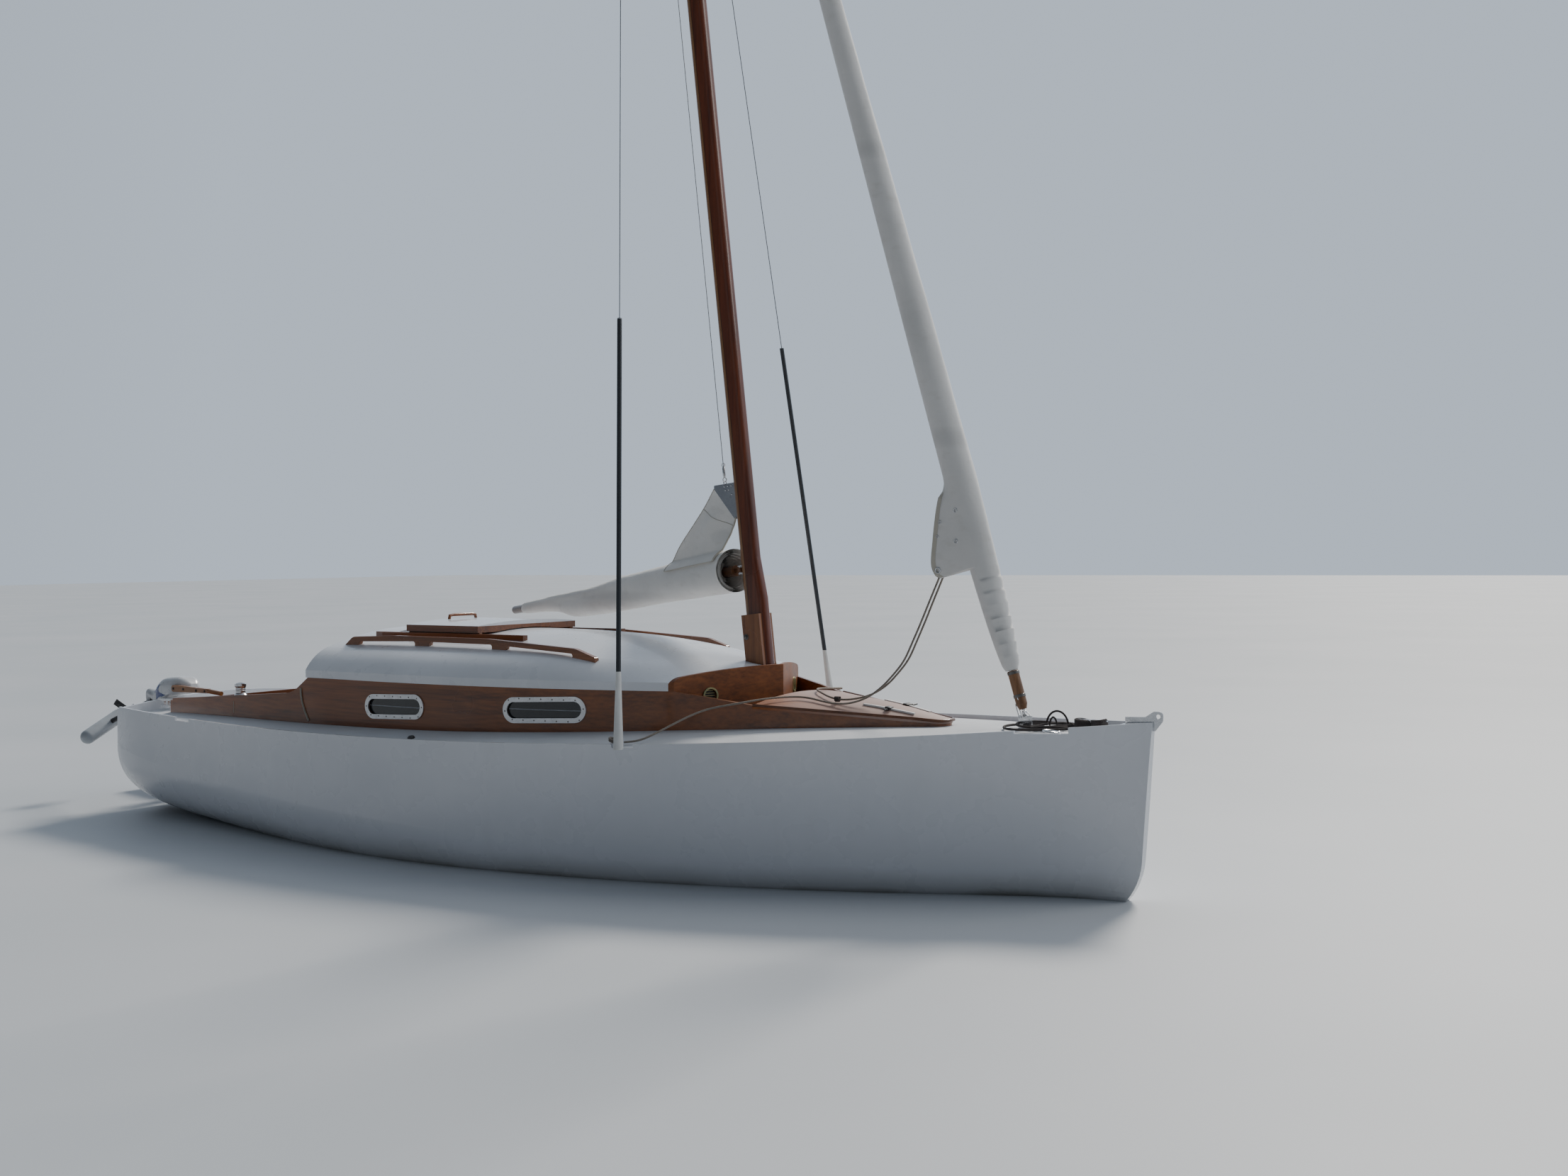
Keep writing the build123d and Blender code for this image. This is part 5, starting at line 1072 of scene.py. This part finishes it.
def motor_details():
    patch = [beside_head(HEAD_AT + HEAD_UP * (-0.020 + u) - HEAD_ACROSS * v) for u, v in BLUE_OUTLINE]
    middle = beside_head(sum(patch, Vector()) / len(patch))
    verts = [middle]
    for share in (0.34, 0.67, 1.0):
        verts += [beside_head(middle.lerp(p, share)) for p in patch]
    count = len(patch)
    faces = [(0, 1 + k, 1 + (k + 1) % count) for k in range(count)]
    for near in (1, 1 + count):
        far = near + count
        faces += [(near + k, far + k, far + (k + 1) % count, near + (k + 1) % count) for k in range(count)]
    piece("outboard_side_patch", [(verts, faces)], "blue", "outboard")
    bolts = [lathe(on_side("outboard_arm", -1, x, z)[0], -PORT, ARM_BOLT, 14) for x, z in ARM_BOLTS]
    piece("outboard_arm_bolts", bolts, "black", "outboard")
    low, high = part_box("outboard_clamp")
    knobs = []
    for side in KNOB_SIDES:
        at = Vector((high.x, MOTOR_Y + side, KNOB_HEIGHT))
        hit, _ = meet("outboard_clamp", at + Vector((0.3, 0, 0)), (-1, 0, 0))
        at = hit or at
        knobs.append(lathe(at, (1, 0, 0), KNOB, 14))
        knobs.append(box(at + Vector((0.018, 0, 0)), (0.008, 0.050, 0.012), None, 0.003))
    piece("outboard_clamp_knobs", knobs, "pod")


COAMING_CORD = [(-1.492, 0.850), (-1.490, 0.810), (-1.478, 0.765), (-1.455, 0.715), (-1.425, 0.668)]
SEAM_X, SEAM_LOW, SEAM_RISE = -2.15, 0.635, 0.145
WINCH_X, WINCH_Y, WINCH_TOP = -2.175, 0.682, 0.840
WINCH_SOCKET = [(-0.001, 0.026), (0.003, 0.026), (0.006, 0.020), (0.006, 0.012), (-0.001, 0.010)]
# Drop below the winch's top and radius
WINCH_RIBS = [(0.030, 0.028), (0.040, 0.028), (0.055, 0.029)]


def coaming_details():
    line = [on_side("cabin_side_starboard", -1, x, z)[0] - PORT * 0.003 for x, z in COAMING_CORD]
    piece("coaming_lashing", [tube(line, 0.0055, 10)], "white_rope")
    seams, winches = [], []
    for side, node in zip(SIDES, ("cabin_side_port", "cabin_side_starboard")):
        heights = [SEAM_LOW + SEAM_RISE * k / 4 for k in range(5)]
        hits = [on_side(node, side, SEAM_X, z)[0] for z in heights]
        spots = [at + PORT * side * 0.0002 for at in hits if at]
        seams.append(tube(spots, 0.002, 6))
    piece("plank_seams", seams, "tape")
    for side in SIDES:
        top = Vector((WINCH_X, side * WINCH_Y, WINCH_TOP))
        winches.append(lathe(top, UP, WINCH_SOCKET, 24))
        winches += [torus(top - UP * drop, UP, radius, 0.002, 28) for drop, radius in WINCH_RIBS]
    piece("winch_ribs", winches, "steel")


# The hull's skin is open on the keel near the bow: ends and half width of the piece that closes it
PATCH_AFT, PATCH_FORE, PATCH_HALF, PATCH_STEPS = 2.39, 2.61, 0.075, 12
PATCH_OUTER, PATCH_INNER = -0.0012, 0.005


def keel_patch():
    """Closes the gap along the keel, level with the skin around it."""
    spots = [PATCH_HALF * (2 * k / PATCH_STEPS - 1) for k in range(PATCH_STEPS + 1)]
    aft = [meet("hull_shell", (PATCH_AFT, y, -1.0), (0, 0, 1))[0] for y in spots]
    fore = [meet("hull_shell", (PATCH_FORE, y, -1.0), (0, 0, 1))[0] for y in spots]
    columns, verts = PATCH_STEPS + 1, []
    for lift in (PATCH_OUTER, PATCH_INNER):
        for i in range(columns):
            verts += [a.lerp(b, i / PATCH_STEPS) + UP * lift for a, b in zip(aft, fore)]
    size = columns * columns
    sheet = grid_faces(columns, columns)
    faces = [tuple(reversed(face)) for face in sheet] + [tuple(k + size for k in face) for face in sheet]
    rim = list(range(columns)) + [columns * i + columns - 1 for i in range(1, columns)]
    rim += [size - 1 - k for k in range(1, columns)] + [columns * i for i in range(columns - 2, 0, -1)]
    faces += [(a, b, b + size, a + size) for a, b in zip(rim, rim[1:] + rim[:1])]
    piece("hull_keel_patch", [(verts, faces)], "hull")


RAIL_PLUGS_X, RAIL_Y, GRIP_X = (-1.320, -0.735, -0.160, 0.420), 0.582, -1.010
PLUG = [(-0.001, 0.006), (0.0004, 0.006), (0.0006, 0.004)]
# Hatch grip: (y, height above the hatch)
GRIP = [(-0.11, -0.002), (-0.105, 0.018), (-0.08, 0.022), (0.08, 0.022), (0.105, 0.018), (0.11, -0.002)]


def rail_and_hatch_details():
    spots = [(x, side * RAIL_Y) for side in SIDES for x in RAIL_PLUGS_X]
    plugs = [lathe(*on_top("handrails", *spot), PLUG, 12) for spot in spots]
    piece("handrail_plugs", plugs, "rim")
    at, _ = on_top("hatch_cover", GRIP_X, 0)
    grip = [Vector((at.x, y, at.z + h)) for y, h in GRIP]
    piece("hatch_grip", [tube(grip, 0.009, 12)], "planks", "hatch")


keel_patch()
window_details()
vent_grilles()
mast_details()
trunk_details()
deck_details()
motor_details()
coaming_details()
rail_and_hatch_details()

# Stage: floor at the waterline, soft light and the photo's camera
# Rows are the picture's right, depth and up in the boat's frame
TO_WORLD = ((0.83535, 0.54971, -0.00164), (-0.54969, 0.83534, 0.00705), (0.00525, -0.00499, 0.99997))
CAMERA_AT = Vector((5.8489, -6.9518, 1.5943))
PITCH, ROLLED = math.radians(1.6481), math.radians(0.40498)
FOCAL, PHOTO_WIDTH, SENSOR = 2278.852, 2212, 36.0
FLOOR_REACH = 90
SKY = (0.52, 0.60, 0.70)
# The sky's strength grows from the camera's side to behind the boat
SKY_STRENGTH = (-0.5, 0.6, 0.16, 1.05)
# Name, kind, place, aim, size in metres or a sun's angle in degrees, power, colour
LAMPS = [
    ("key", "SUN", (-1.0, 10.0, 9.0), (0, 0, 0.8), 14, 3.0, (1.0, 0.94, 0.85)),
    ("fill", "AREA", (3.0, -12.0, 5.0), (0, 0, 1.0), 9.0, 40, (0.92, 0.95, 1.0)),
    ("back", "AREA", (9.0, 5.0, 8.0), (0, 0, 1.5), 5.0, 300, (1.0, 0.97, 0.92)),
]


def camera():
    data = bpy.data.cameras.new("photo_camera")
    data.sensor_width = SENSOR
    data.lens = FOCAL * SENSOR / PHOTO_WIDTH
    data.clip_end = 200
    made = placed("photo_camera", data)
    right, depth, up = (Vector(row) for row in TO_WORLD)
    ahead = depth * math.cos(PITCH) - up * math.sin(PITCH)
    above = depth * math.sin(PITCH) + up * math.cos(PITCH)
    right, above = (
        right * math.cos(ROLLED) - above * math.sin(ROLLED),
        right * math.sin(ROLLED) + above * math.cos(ROLLED),
    )
    turn = Matrix((right, above, -ahead)).transposed()
    made.matrix_world = Matrix.Translation(CAMERA_AT) @ turn.to_4x4()
    bpy.context.scene.camera = made


def lamp(name, kind, at, to, size, power, colour):
    data = bpy.data.lights.new(name, kind)
    if kind == "SUN":
        data.angle = math.radians(size)
    else:
        data.size = size
    data.energy = power
    data.color = colour
    made = placed(name, data)
    made.location = at
    made.rotation_mode = "QUATERNION"
    made.rotation_quaternion = (Vector(to) - Vector(at)).to_track_quat("-Z", "Y")


def floor():
    data = bpy.data.meshes.new("floor")
    corners = [(x * FLOOR_REACH, y * FLOOR_REACH, 0) for x, y in ((-1, -1), (1, -1), (1, 1), (-1, 1))]
    data.from_pydata(corners, [], [(0, 1, 2, 3)])
    made = placed("floor", data)
    look = Look("floor_pale", 0.55)
    pale = look.ramp(look.noise(0.35, 3), (0.3, (0.52, 0.55, 0.58)), (0.7, (0.58, 0.60, 0.63)))
    look.join(pale, "Base Color")
    data.materials.append(look.material)


def sky():
    world = bpy.data.worlds.new("studio")
    bpy.context.scene.world = world
    world.use_nodes = True
    tree = world.node_tree
    shader = tree.nodes["Background"]
    shader.inputs["Color"].default_value = (*SKY, 1)
    split = add_node(tree, "SeparateXYZ", {0: add_node(tree, "TexCoord", {}).outputs["Generated"]})
    glow = add_node(tree, "MapRange", {"Value": split.outputs["Y"], **dict(zip(SPAN, SKY_STRENGTH))})
    tree.links.new(glow.outputs["Result"], shader.inputs["Strength"])


floor()
sky()
camera()
for row in LAMPS:
    lamp(*row)
